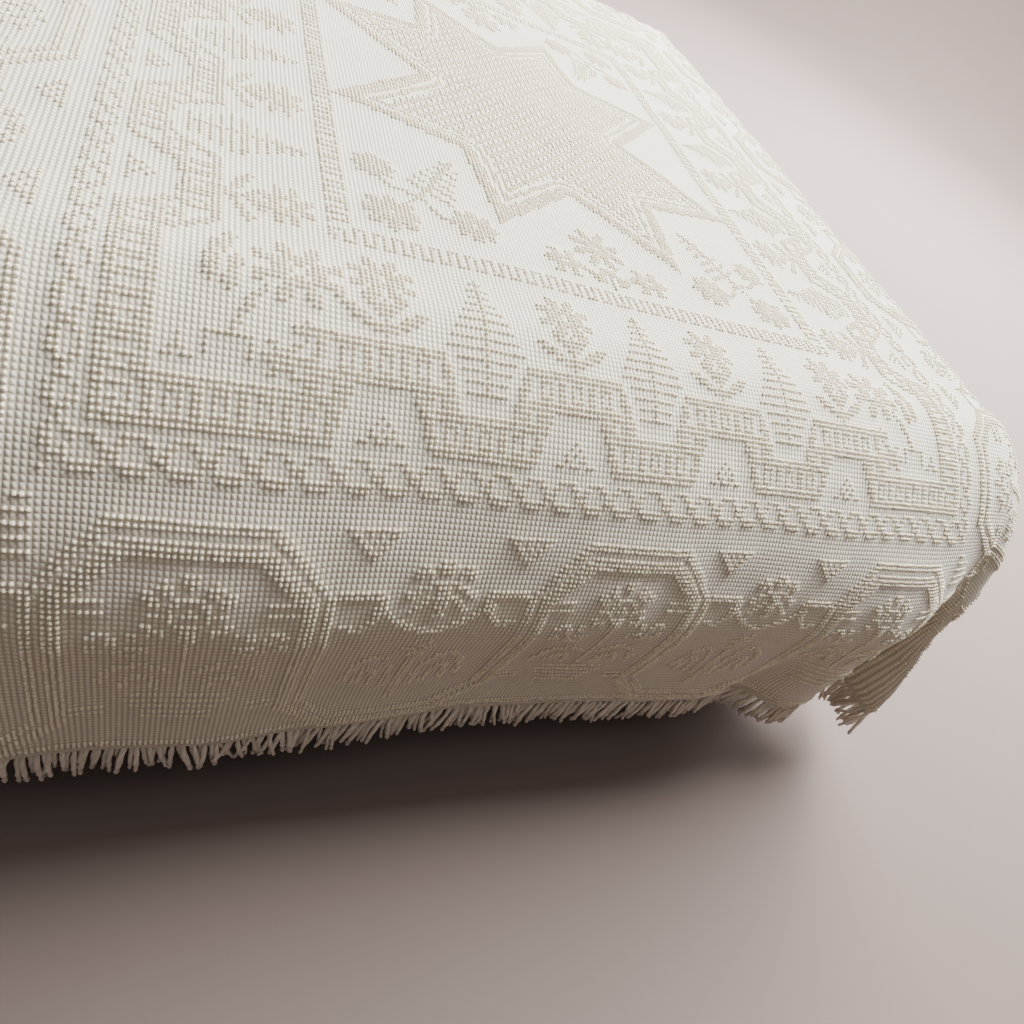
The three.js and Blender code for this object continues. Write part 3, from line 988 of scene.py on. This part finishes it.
def woven_cover(name, colour, thread):
    """Plain woven cover: crossing threads of the given width, painted shade in the dips between
    them, and slight fading in patches.
    """
    material, tree, shader = new_material(name)
    set_finish(shader, Roughness=0.9, Specular_IOR_Level=0.25, Sheen_Weight=0.15)
    place = add_node(tree, "ShaderNodeTexCoord")
    split = add_node(tree, "ShaderNodeSeparateXYZ", {"Vector": place.outputs["Object"]})
    ways = {0: split.outputs["X"], 1: split.outputs["Y"]}
    flat = add_node(tree, "ShaderNodeMath", ways, operation="ADD")
    threads = {}
    for key, way in enumerate((flat, split.outputs["Z"])):
        ways = {0: way, 1: 2 * math.pi / thread}
        turn = add_node(tree, "ShaderNodeMath", ways, operation="MULTIPLY")
        threads[key] = add_node(tree, "ShaderNodeMath", {0: turn}, operation="SINE")
    weave = add_node(tree, "ShaderNodeMath", threads, operation="MULTIPLY")
    patches = add_node(tree, "ShaderNodeTexNoise", {
        "Vector": place.outputs["Object"], "Scale": 1 / FADED_PATCH, "Detail": 4.0})
    # Painted shade where the weave dips between its threads, and fading in patches.
    shares = {0: weave, 1: 0.25, 2: patches}
    blend = add_node(tree, "ShaderNodeMath", shares, operation="MULTIPLY_ADD")
    dim = [COVER_FADE_AND_SHADE * channel for channel in colour]
    tints = {0: blend, MIX_A: rgba(dim), MIX_B: rgba(colour)}
    mixed = add_node(tree, "ShaderNodeMix", tints, data_type="RGBA")
    bump = add_node(tree, "ShaderNodeBump", {
        "Height": weave, "Distance": THREAD_RISE, "Strength": 0.8})
    return dress(material, mixed, bump)


def painted_floor(colour):
    """Matt painted floor: plain and even, with a faint cloudiness."""
    material, tree, shader = new_material("matt_floor_paint")
    set_finish(shader, Roughness=0.85)
    place = add_node(tree, "ShaderNodeTexCoord")
    clouds = add_node(tree, "ShaderNodeTexNoise", {
        "Vector": place.outputs["Object"], "Scale": 1 / PAINT_CLOUD, "Detail": 2.0})
    dim = [FLOOR_DIM * channel for channel in colour]
    tints = {0: clouds, MIX_A: rgba(dim), MIX_B: rgba(colour)}
    mixed = add_node(tree, "ShaderNodeMix", tints, data_type="RGBA")
    return dress(material, mixed)


# Pieces.


def add_piece(name, mesh, material, slot, *nodes):
    """Puts a mesh in the scene as a piece that stands for the named solids."""
    mesh.materials.append(material)
    piece = bpy.data.objects.new(name, mesh)
    bpy.context.scene.collection.objects.link(piece)
    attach(piece, BODY)
    if nodes:
        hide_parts(*nodes)
    return piece


def mesh_from_bmesh(name, bm):
    """A smoothly shaded mesh from a bmesh, which is then freed."""
    mesh = bpy.data.meshes.new(name)
    bm.to_mesh(mesh)
    bm.free()
    mesh.shade_smooth()
    return mesh


def mesh_from_arrays(name, points, corners, sizes, values):
    """A mesh from its points, its faces' corners and their numbers, with values at the points."""
    mesh = bpy.data.meshes.new(name)
    mesh.vertices.add(len(points))
    mesh.vertices.foreach_set("co", points.astype(np.float32).ravel())
    mesh.loops.add(len(corners))
    mesh.loops.foreach_set("vertex_index", corners.astype(np.int32))
    mesh.polygons.add(len(sizes))
    starts = np.cumsum(sizes) - sizes
    mesh.polygons.foreach_set("loop_start", starts.astype(np.int32))
    mesh.update(calc_edges=True)
    for key, value in values.items():
        layer = mesh.attributes.new(key, "FLOAT", "POINT")
        layer.data.foreach_set("value", value.astype(np.float32))
    mesh.validate()
    return mesh


def repeated_faces(faces, count, step, start=0):
    """Corners and sizes of the faces of count like shapes, whose points are step apart."""
    pattern = np.concatenate([np.array(face) for face in faces])
    corners = (start + np.arange(count)[:, None] * step + pattern).ravel()
    return corners, np.tile([len(face) for face in faces], count)


def make_cloth(settings):
    """The sheet: a grid laid over the bed, then given its thickness inwards."""
    bm = bmesh.new()
    bmesh.ops.create_grid(
        bm, x_segments=settings.cells_across, y_segments=settings.cells_along, size=0.5)
    mesh = mesh_from_bmesh("bedspread_cloth", bm)
    flat = np.zeros(3 * len(mesh.vertices), np.float32)
    mesh.vertices.foreach_get("co", flat)
    flat = flat.reshape(-1, 3).astype(float) * (2 * HALF_WIDTH, 2 * HALF_LENGTH, 0)
    points = drape(flat[:, 0], flat[:, 1])
    mesh.vertices.foreach_set("co", points.astype(np.float32).ravel())
    corners = np.zeros(len(mesh.loops), np.int32)
    mesh.loops.foreach_get("vertex_index", corners)
    counts = flat[corners, :2] / (ACROSS, ALONG)
    layer = mesh.uv_layers.new(name="tufts")
    layer.data.foreach_set("uv", counts.astype(np.float32).ravel())
    cloth = add_piece("bedspread_cloth", mesh, ground_cotton(settings), "cotton_cloth", "bedspread")
    thick = cloth.modifiers.new("thickness", "SOLIDIFY")
    thick.thickness = SHEET_THICKNESS * MM
    thick.offset = -1
    thick.use_even_offset = True


# Seed of the random draws, and sides of a tuft.
TUFT_SEED = 11
TUFT_SIDES = 4
# Spread of the tufts about the lattice, their slant in radians and their size.
TUFT_SCATTER = 0.035
TUFT_SLANT_SPREAD = 0.18
TUFT_SIZE_SPREAD = 0.09
# Rings of a tuft: height and width as shares of the whole, and a rise that sets its painted shade,
# darkest where the rise is least.
# The first is the brim of yarn that closes the cloth round the tuft.
TUFT_RINGS = [(0.05, 1.0, 0.3), (0.66, 0.74, 0.95)]


def tuft_mesh(name, column, row, settings, random):
    """Closed domes on the cloth, one over each named place of the lattice."""
    count = len(column)
    scatter = random.normal(0, TUFT_SCATTER, (count, 2))
    u = (column + scatter[:, 0]) * ACROSS
    v = (row + scatter[:, 1]) * ALONG
    base, across, along, normal = cloth_frames(u, v)
    slant = settings.tuft_slant + random.normal(0, TUFT_SLANT_SPREAD, count)
    grow = random.normal(1, TUFT_SIZE_SPREAD, count)[:, None]
    turn = slant[:, None]
    long_way = (along * np.cos(turn) + across * np.sin(turn)) * grow * settings.tuft_length / 2
    short_way = (across * np.cos(turn) - along * np.sin(turn)) * grow * settings.tuft_width / 2
    upright = normal * grow * settings.tuft_height
    layers = []
    for height, width, _ in TUFT_RINGS:
        for side in range(TUFT_SIDES):
            angle = 2 * math.pi * side / TUFT_SIDES
            ring = short_way * math.cos(angle) + long_way * math.sin(angle)
            layers.append(base + upright * height + ring * width)
    layers.append(base + upright)
    per_tuft = len(layers)
    points = np.stack(layers, axis=1).reshape(-1, 3)
    faces = []
    for side in range(TUFT_SIDES):
        after = (side + 1) % TUFT_SIDES
        faces.append((side, after, TUFT_SIDES + after, TUFT_SIDES + side))
        faces.append((TUFT_SIDES + side, TUFT_SIDES + after, 2 * TUFT_SIDES))
    faces.append(tuple(reversed(range(TUFT_SIDES))))
    corners, sizes = repeated_faces(faces, count, per_tuft)
    rise = [ring[2] for ring in TUFT_RINGS for _ in range(TUFT_SIDES)] + [1.0]
    values = {
        "rise": np.tile(rise, count),
        "tone": np.repeat(random.uniform(0, 1, count), per_tuft),
    }
    mesh = mesh_from_arrays(name, points, corners, sizes, values)
    # The undersides are flat, so that the brims are shaded by their sides alone.
    undersides = np.tile([False] * (len(faces) - 1) + [True], count)
    layer = mesh.attributes.new("sharp_face", "BOOLEAN", "FACE")
    layer.data.foreach_set("value", undersides)
    return mesh


def make_tufts(settings):
    """The raised pattern, in one piece for each part of the spread."""
    quarter, foot_out, side_out = raised_tufts()
    out = np.maximum(foot_out, side_out)
    rows = np.arange(-ROWS, ROWS + 1)
    columns = np.arange(-COLUMNS, COLUMNS + 1)
    row, column = np.meshgrid(rows, columns, indexing="ij")
    at = (np.abs(row), np.abs(column))
    raised = quarter[at]
    reach = out[at]
    on_side = (side_out > foot_out)[at]
    on_border = raised & (reach >= CHAIN_TOP - 1)
    on_steps = raised & (reach >= ROPE_TOP) & ~on_border
    groups = {
        "tufts_field": raised & (reach < ROPE_TOP),
        "tufts_steps_ends": on_steps & ~on_side,
        "tufts_steps_sides": on_steps & on_side,
        "tufts_border_foot": on_border & ~on_side & (row < 0),
        "tufts_border_head": on_border & ~on_side & (row > 0),
        "tufts_border_left": on_border & on_side & (column < 0),
        "tufts_border_right": on_border & on_side & (column > 0),
    }
    material = yarn_cotton(
        "candlewick_cotton_tuft", settings.crown, settings.second_crown, settings.root_shade)
    random = np.random.default_rng(TUFT_SEED)
    for name, chosen in groups.items():
        mesh = tuft_mesh(name, column[chosen], row[chosen], settings, random)
        add_piece(name, mesh, material, "cotton_cloth")


# Seed of the random draws, and sides of a cord.
CORD_SEED = 23
CORD_SIDES = 6
# Rings of a cord: share of the length and share of the radius.
CORD_RINGS = [(0, 0.9), (0.24, 1), (0.48, 1), (0.72, 1), (0.93, 0.94), (1, 0.55)]
# The cords stand in two rows, so far from the middle of the tape in metres.
CORD_ROWS = 0.0016
# Twist over a cord's length, and swell of its two plies as a share of its radius.
CORD_TWIST = 2 * math.pi
CORD_LOBE = 0.10
# Pull downwards and lean outwards, as shares of the way the cloth ends.
CORD_DROOP = 1.4
CORD_LEAN = 0.09
# The cords sway together along the hem: by how much, over what length and from what phase.
CORD_SWAYS = [(0.12, 0.061, 0.0), (0.09, 0.023, 1.0)]
# Spread of the single cords about the others, and of the curl of their ends in metres.
CORD_SCATTER = 0.3
CORD_SWAY_SPREAD = 0.09
CORD_LEAN_SPREAD = 0.05
CORD_LENGTH_SPREAD = 0.07
CORD_CURL = 0.006
CORD_RADIUS_SPREAD = 0.08
# Rise of the plies for the painted shade between them: its middle and its swing. Rise and tone of
# the tape, which set its colour part way between the cord colours and that shade colour.
CORD_RISE = 0.55
CORD_RISE_SWING = 0.2
HEADING_RISE = 0.3
HEADING_TONE = 0.5
# The cords start at this share of the tape's height.
CORD_ROOT = 0.8
# The tape: gap to the hem and half its thickness in metres, and the step of its rings along the
# hem in millimetres.
HEADING_GAP = 0.0004
HEADING_HALF = 0.0017
HEADING_STEP = 8.0
# Outline of the tape: share of its height, and share of half its thickness.
HEADING_OUTLINE = [
    (1, 0.8), (0.75, 1), (0.25, 1), (0, 0.8), (0, -0.8), (0.25, -1), (0.75, -1), (1, -0.8),
]


def hem_frames(u, v, run_along):
    """Points in the middle of the hem with its run, the way the cloth ends, and outwards."""
    point, across, along, normal = cloth_frames(u, v)
    run = along if run_along else across
    hang = unit(np.cross(run, normal))
    outward = across * np.sign(u)[:, None] if run_along else -along
    hang *= np.sign(np.sum(hang * outward, axis=-1, keepdims=True))
    return point - normal * SHEET_THICKNESS * MM / 2, run, hang, normal


def loft_faces(rings, sides):
    """Faces of a closed tube of rings, with its two ends."""
    faces = []
    for ring in range(rings - 1):
        for side in range(sides):
            after = (side + 1) % sides
            low = ring * sides
            faces.append((low + side, low + after, low + sides + after, low + sides + side))
    faces.append(tuple(reversed(range(sides))))
    faces.append(tuple(range((rings - 1) * sides, rings * sides)))
    return faces


def heading_tape(middle, run, hang, normal, settings):
    """Points, corners and face sizes of the tape along a hem."""
    layers = []
    for drop, offset in HEADING_OUTLINE:
        fall = HEADING_GAP + drop * settings.heading_height
        layers.append(middle + hang * fall + normal * offset * HEADING_HALF)
    points = np.stack(layers, axis=1).reshape(-1, 3)
    faces = loft_faces(len(middle), len(HEADING_OUTLINE))
    inside_out = np.sum(np.cross(run[0], hang[0]) * normal[0]) < 0
    if inside_out:
        faces = [tuple(reversed(face)) for face in faces]
    return points, *repeated_faces(faces, 1, len(points))


def hang_cords(place, middle, run, hang, normal, settings, random):
    """Points of the two-ply cords, ring by ring, with the rise of their plies for the painted shade
    between them.
    """
    count = len(place)
    sway = sum(much * np.sin(place / length + phase) for much, length, phase in CORD_SWAYS)
    sway += random.normal(0, CORD_SWAY_SPREAD, count)
    lean = CORD_LEAN + random.normal(0, CORD_LEAN_SPREAD, count)
    straight = unit(hang + CORD_DROOP * np.array([0, 0, -1.0]))
    way = unit(straight + normal * lean[:, None] + run * sway[:, None])
    length = settings.cord_length * random.normal(1, CORD_LENGTH_SPREAD, count)
    curl = random.normal(0, CORD_CURL, count)
    root = middle + hang * (HEADING_GAP + CORD_ROOT * settings.heading_height)
    row = np.where(np.arange(count) % 2, 1.0, -1.0)
    root += normal * (CORD_ROWS * row)[:, None]
    first = unit(run - way * np.sum(run * way, axis=-1, keepdims=True))
    second = np.cross(way, first)
    phase = random.uniform(0, 2 * math.pi, count)
    radius = settings.cord_radius * random.normal(1, CORD_RADIUS_SPREAD, count)
    layers = []
    rise = []
    for share, taper in CORD_RINGS:
        centre = root + way * (length * share)[:, None] + first * (curl * share * share)[:, None]
        for side in range(CORD_SIDES):
            angle = 2 * math.pi * side / CORD_SIDES
            lobe = math.cos(2 * angle)
            turn = angle + CORD_TWIST * share + phase
            reach = (radius * taper * (1 + CORD_LOBE * lobe))[:, None]
            spoke = first * np.cos(turn)[:, None] + second * np.sin(turn)[:, None]
            layers.append(centre + reach * spoke)
            rise.append(CORD_RISE + CORD_RISE_SWING * lobe)
    return np.stack(layers, axis=1).reshape(-1, 3), rise


def make_fringe(name, node, u, v, run_along, settings, material, random):
    """One side's fringe: a tape under the hem and two-ply cords that hang from it."""
    hem = hem_frames(u, v, run_along)
    tape, tape_corners, tape_sizes = heading_tape(*hem, settings)
    walk = np.concatenate([[0], np.cumsum(np.linalg.norm(np.diff(hem[0], axis=0), axis=1))])
    count = int(walk[-1] / settings.cord_pitch)
    scatter = random.uniform(-CORD_SCATTER, CORD_SCATTER, count)
    place = (np.arange(count) + 0.5 + scatter) * settings.cord_pitch
    place = np.clip(place, settings.cord_radius, walk[-1] - settings.cord_radius)
    roots = hem_frames(np.interp(place, walk, u), np.interp(place, walk, v), run_along)
    cords, rise = hang_cords(place, *roots, settings, random)
    faces = loft_faces(len(CORD_RINGS), CORD_SIDES)
    corners, sizes = repeated_faces(faces, count, len(rise), len(tape))
    tone = np.repeat(random.uniform(0, 1, count), len(rise))
    values = {
        "rise": np.concatenate([np.full(len(tape), HEADING_RISE), np.tile(rise, count)]),
        "tone": np.concatenate([np.full(len(tape), HEADING_TONE), tone]),
    }
    mesh = mesh_from_arrays(
        name, np.concatenate([tape, cords]), np.concatenate([tape_corners, corners]),
        np.concatenate([tape_sizes, sizes]), values)
    return add_piece(name, mesh, material, "cotton_fringe", node)


def make_fringes(settings):
    """The fringes of the foot, the left and the right."""
    material = yarn_cotton(
        "cotton_fringe_cord", settings.cord, settings.second_cord, settings.cord_groove_shade)
    random = np.random.default_rng(CORD_SEED)
    steps_across = int(2 * HALF_WIDTH / HEADING_STEP)
    steps_along = int(2 * HALF_LENGTH / HEADING_STEP)
    u = np.linspace(-HALF_WIDTH, HALF_WIDTH, steps_across)
    v = np.linspace(-HALF_LENGTH, HALF_LENGTH, steps_along)
    foot = np.full(len(u), -HALF_LENGTH)
    left = np.full(len(v), -HALF_WIDTH)
    return [
        make_fringe("cords_foot", "fringe_foot", u, foot, False, settings, material, random),
        make_fringe("cords_left", "fringe_left", left, v, True, settings, material, random),
        make_fringe("cords_right", "fringe_right", -left, v, True, settings, material, random),
    ]


def box_mesh(low, high):
    """A bmesh cube stretched between two corners."""
    bm = bmesh.new()
    bmesh.ops.create_cube(bm, size=1.0)
    size = high - low
    bmesh.ops.scale(bm, vec=size, verts=bm.verts)
    bmesh.ops.translate(bm, vec=(low + high) / 2, verts=bm.verts)
    return bm


# Less than this, in metres, counts as level.
LEVEL = 1e-5


def upright_edges(bm):
    """Edges whose ends lie at different heights."""
    return [e for e in bm.edges if abs(e.verts[0].co.z - e.verts[1].co.z) > LEVEL]


def pipe_round(bm, low, high, proud):
    """Pushes out the band of wall between two heights, as piping sewn round the piece."""
    for height in (low, high):
        whole = bm.verts[:] + bm.edges[:] + bm.faces[:]
        bmesh.ops.bisect_plane(bm, geom=whole, plane_co=(0, 0, height), plane_no=(0, 0, 1))
    band = []
    for face in bm.faces:
        heights = [vert.co.z for vert in face.verts]
        between_cuts = low - LEVEL <= min(heights) and max(heights) <= high + LEVEL
        if between_cuts and abs(face.normal.z) < 0.5:
            band.append(face)
    made = bmesh.ops.extrude_face_region(bm, geom=band)
    bmesh.ops.delete(bm, geom=band, context="FACES_ONLY")
    for vert in [item for item in made["geom"] if isinstance(item, bmesh.types.BMVert)]:
        outward = Vector((vert.normal.x, vert.normal.y, 0)).normalized()
        vert.co += outward * proud
    bm.normal_update()


# Width of the soft edges in metres.
SOFT_EDGE = 0.0015
SOFT_EDGE_STEPS = 2


def soften(piece):
    """Rounds the sharp edges of a sewn cover a little."""
    soft = piece.modifiers.new("soft edges", "BEVEL")
    soft.width = SOFT_EDGE
    soft.segments = SOFT_EDGE_STEPS


# The base in metres: radius of its upright corners, and the piping's distance from its edges.
BASE_CORNER = 0.060
BASE_CORNER_STEPS = 10
BASE_PIPE_INSET = 0.012


def make_base(settings):
    """The bed's base: an upholstered box with round corners and piping near its edges."""
    bm = box_mesh(BASE_LOW, BASE_HIGH)
    bmesh.ops.bevel(
        bm, geom=upright_edges(bm), offset=BASE_CORNER, offset_type="OFFSET", affect="EDGES",
        segments=BASE_CORNER_STEPS, profile=0.5, material=-1)
    bm.normal_update()
    for centre in (BASE_LOW.z + BASE_PIPE_INSET, BASE_HIGH.z - BASE_PIPE_INSET):
        pipe_round(bm, centre - settings.piping / 2, centre + settings.piping / 2, settings.proud)
    mesh = mesh_from_bmesh("bed_base_cover", bm)
    material = woven_cover("woven_upholstery", settings.upholstery, UPHOLSTERY_THREAD)
    soften(add_piece("bed_base_cover", mesh, material, "base_upholstery", "bed_base"))


# The mattress in millimetres: its top lies inset from the edge of the sheet's field and rests
# under the sheet, and its walls stand out from there.
MATTRESS_RINGS = 14
MATTRESS_CORNER_STEPS = 10
MATTRESS_INSET = 30.0
MATTRESS_CORNER = 20.0
MATTRESS_SIDE_REACH = 118.0
MATTRESS_FOOT_REACH = 230.0
MATTRESS_REST = SHEET_THICKNESS + 0.5
MATTRESS_THICKNESS = 280.0
# Height of the piping over the underside in metres.
MATTRESS_PIPE_RISE = 0.004


def mattress_ring(share, down):
    """A level line of the mattress with round corners, at a share of its shoulder's bend.

    Its height follows the shoulder, or lies so far down from the top.
    """
    points = []
    quarters = [(1, 1, 1), (1, -1, -1), (-1, -1, 1), (-1, 1, -1)]
    for side, end, forward in quarters:
        field = FIELD_TO_HEAD if end > 0 else FIELD_TO_FOOT
        reach = MATTRESS_SIDE_REACH if end > 0 else MATTRESS_FOOT_REACH
        shoulder = SIDE_SHOULDER if end > 0 else FOOT_SHOULDER
        for step in range(MATTRESS_CORNER_STEPS + 1):
            part = step / MATTRESS_CORNER_STEPS
            angle = (part if forward > 0 else 1 - part) * math.pi / 2
            blend = float(smooth(np.float64(angle), 0, math.pi / 2))
            power = between(shoulder.power, SIDE_SHOULDER.power, blend)
            fall = between(shoulder.fall, SIDE_SHOULDER.fall, blend)
            bend = share * math.pi / 2
            out = math.sin(bend) ** (2 / power)
            drop = fall * (1 - max(0.0, math.cos(bend)) ** (2 / power))
            x = FIELD_HALF_WIDTH - MATTRESS_INSET - MATTRESS_CORNER
            y = field - MATTRESS_INSET - MATTRESS_CORNER
            x += (MATTRESS_CORNER + MATTRESS_SIDE_REACH * out) * math.sin(angle)
            y += (MATTRESS_CORNER + reach * out) * math.cos(angle)
            z = TOP_HEIGHT - MATTRESS_REST - (drop if down is None else down)
            points.append(Vector(SHEET_PLACE) + Vector((side * x, end * y, z)) * MM)
    return points


def make_mattress(settings):
    """The mattress: a pad with soft upper edges, a piped seam and a flat underside."""
    bm = bmesh.new()
    top = [bm.verts.new(point) for point in mattress_ring(0.0, None)]
    bm.faces.new(top)
    levels = [(ring / MATTRESS_RINGS, None) for ring in range(1, MATTRESS_RINGS + 1)]
    levels.append((1.0, MATTRESS_THICKNESS))
    for share, down in levels:
        loop = [bm.edges.get((top[i - 1], top[i])) for i in range(len(top))]
        made = bmesh.ops.extrude_edge_only(bm, edges=loop)
        verts = [item for item in made["geom"] if isinstance(item, bmesh.types.BMVert)]
        below = []
        for vert, place in zip(top, mattress_ring(share, down)):
            after = next(e.other_vert(vert) for e in vert.link_edges if e.other_vert(vert) in verts)
            after.co = place
            below.append(after)
        top = below
    bm.faces.new(top)
    bmesh.ops.remove_doubles(bm, verts=bm.verts, dist=1e-6)
    bmesh.ops.recalc_face_normals(bm, faces=bm.faces)
    seam = min(vert.co.z for vert in bm.verts) + MATTRESS_PIPE_RISE
    pipe_round(bm, seam, seam + settings.piping, settings.proud)
    mesh = mesh_from_bmesh("mattress_pad", bm)
    material = woven_cover("cotton_ticking", settings.ticking, TICKING_THREAD)
    pad = add_piece("mattress_pad", mesh, material, "mattress_ticking", "mattress")
    soften(pad)


def add_light(name, place, size, power):
    """A square soft light that looks straight down."""
    lamp = bpy.data.lights.new(name, "AREA")
    lamp.shape = "SQUARE"
    lamp.size = size
    lamp.energy = power
    light = bpy.data.objects.new(name, lamp)
    light.location = place
    bpy.context.scene.collection.objects.link(light)


# The floor in metres: half its side, its cells, the radius past which it sweeps up, and how fast.
FLOOR_HALF = 22.0
FLOOR_CELLS = 40
FLOOR_FLAT = 9.0
FLOOR_SWEEP = 0.12
# Places of the lights from the middle of the sheet, over the floor, and their sides in metres.
KEY_PLACE = Vector((3.9, 2.5, 4.2))
KEY_SIZE = 5.7
BACK_PLACE = Vector((6, 6, 5.5))
BACK_SIZE = 6.0
OVERHEAD_PLACE = Vector((0, 0, 5))
OVERHEAD_SPREAD = math.radians(90)
# Width of the camera's sensor in millimetres.
SENSOR_WIDTH = 36


def make_stage(settings):
    """The floor with its far sweep, the lights and a camera at the photograph's place."""
    scene = bpy.context.scene
    centre = Vector(SHEET_PLACE)
    bm = bmesh.new()
    bmesh.ops.create_grid(bm, x_segments=FLOOR_CELLS, y_segments=FLOOR_CELLS, size=FLOOR_HALF)
    for vert in bm.verts:
        vert.co.z = FLOOR_SWEEP * max(0.0, vert.co.xy.length - FLOOR_FLAT) ** 2
    mesh = mesh_from_bmesh("floor", bm)
    mesh.materials.append(painted_floor(settings.floor))
    floor = bpy.data.objects.new("floor", mesh)
    scene.collection.objects.link(floor)

    add_light("key", centre + KEY_PLACE, KEY_SIZE, settings.key_power)
    add_light("back", centre + BACK_PLACE, BACK_SIZE, settings.back_power)
    sky = bpy.data.lights.new("overhead", "SUN")
    sky.energy = settings.overhead
    sky.angle = OVERHEAD_SPREAD
    overhead = bpy.data.objects.new("overhead", sky)
    overhead.location = centre + OVERHEAD_PLACE
    scene.collection.objects.link(overhead)
    world = bpy.data.worlds.new("studio")
    world.use_nodes = True
    surround = world.node_tree.nodes["Background"]
    set_finish(surround, Color=rgba(settings.surround), Strength=settings.ambient)
    scene.world = world

    data = bpy.data.cameras.new("camera")
    data.sensor_width = SENSOR_WIDTH
    data.lens = settings.lens
    camera = bpy.data.objects.new("camera", data)
    camera.location = centre + Vector(settings.camera_place)
    level = math.cos(settings.dip)
    right = math.sin(settings.heading) * level
    ahead = math.cos(settings.heading) * level
    view = Vector((right, ahead, -math.sin(settings.dip))).to_track_quat("-Z", "Y")
    camera.rotation_mode = "QUATERNION"
    camera.rotation_quaternion = view @ Quaternion((0, 0, 1), settings.roll)
    scene.collection.objects.link(camera)
    scene.camera = camera


class BEDSPREAD_OT_stage(bpy.types.Operator):
    """Adds the floor, the lights and the camera"""

    bl_idname = "bedspread.stage"
    bl_label = "Stage"

    def execute(self, context):
        make_stage(context.scene.stage)
        return {"FINISHED"}


class BEDSPREAD_OT_base(bpy.types.Operator):
    """Adds the bed's base"""

    bl_idname = "bedspread.base"
    bl_label = "Base"

    def execute(self, context):
        make_base(context.scene.bed)
        return {"FINISHED"}


class BEDSPREAD_OT_mattress(bpy.types.Operator):
    """Adds the mattress"""

    bl_idname = "bedspread.mattress"
    bl_label = "Mattress"

    def execute(self, context):
        make_mattress(context.scene.bed)
        return {"FINISHED"}


class BEDSPREAD_OT_cloth(bpy.types.Operator):
    """Adds the draped cloth"""

    bl_idname = "bedspread.cloth"
    bl_label = "Cloth"

    def execute(self, context):
        make_cloth(context.scene.spread)
        return {"FINISHED"}


class BEDSPREAD_OT_tufts(bpy.types.Operator):
    """Adds the raised tufts"""

    bl_idname = "bedspread.tufts"
    bl_label = "Tufts"

    def execute(self, context):
        make_tufts(context.scene.spread)
        return {"FINISHED"}


class BEDSPREAD_OT_fringe(bpy.types.Operator):
    """Adds the fringes"""

    bl_idname = "bedspread.fringe"
    bl_label = "Fringe"

    def execute(self, context):
        fringes = make_fringes(context.scene.spread)
        return {"FINISHED"}


class BEDSPREAD_PT_panel(bpy.types.Panel):
    """Lists the pieces and their sizes"""

    bl_idname = "BEDSPREAD_PT_panel"
    bl_label = "Candlewick bedspread"
    bl_space_type = "VIEW_3D"
    bl_region_type = "UI"
    bl_category = "Bedspread"

    def draw(self, context):
        layout = self.layout
        for key, operators in PANEL_ROWS.items():
            box = layout.box()
            for name in operators:
                box.operator(name)
            group = getattr(context.scene, key)
            for prop in group.__annotations__:
                box.prop(group, prop)


PANEL_ROWS = {
    "stage": ["bedspread.stage"],
    "bed": ["bedspread.base", "bedspread.mattress"],
    "spread": ["bedspread.cloth", "bedspread.tufts", "bedspread.fringe"],
}
CLASSES = (
    SpreadSettings, BedSettings, StageSettings,
    BEDSPREAD_OT_stage, BEDSPREAD_OT_base, BEDSPREAD_OT_mattress, BEDSPREAD_OT_cloth,
    BEDSPREAD_OT_tufts, BEDSPREAD_OT_fringe, BEDSPREAD_PT_panel,
)


def register():
    """Makes the settings, the operators and the panel known."""
    for cls in CLASSES:
        bpy.utils.register_class(cls)
    bpy.types.Scene.spread = PointerProperty(type=SpreadSettings)
    bpy.types.Scene.bed = PointerProperty(type=BedSettings)
    bpy.types.Scene.stage = PointerProperty(type=StageSettings)


def unregister():
    """Takes the settings, the operators and the panel away again."""
    del bpy.types.Scene.stage
    del bpy.types.Scene.bed
    del bpy.types.Scene.spread
    for cls in reversed(CLASSES):
        bpy.utils.unregister_class(cls)


def main():
    """Builds the stage, the bed and the bedspread."""
    register()
    bpy.ops.bedspread.stage()
    bpy.ops.bedspread.base()
    bpy.ops.bedspread.mattress()
    bpy.ops.bedspread.cloth()
    bpy.ops.bedspread.tufts()
    bpy.ops.bedspread.fringe()


if __name__ == "__main__":
    main()
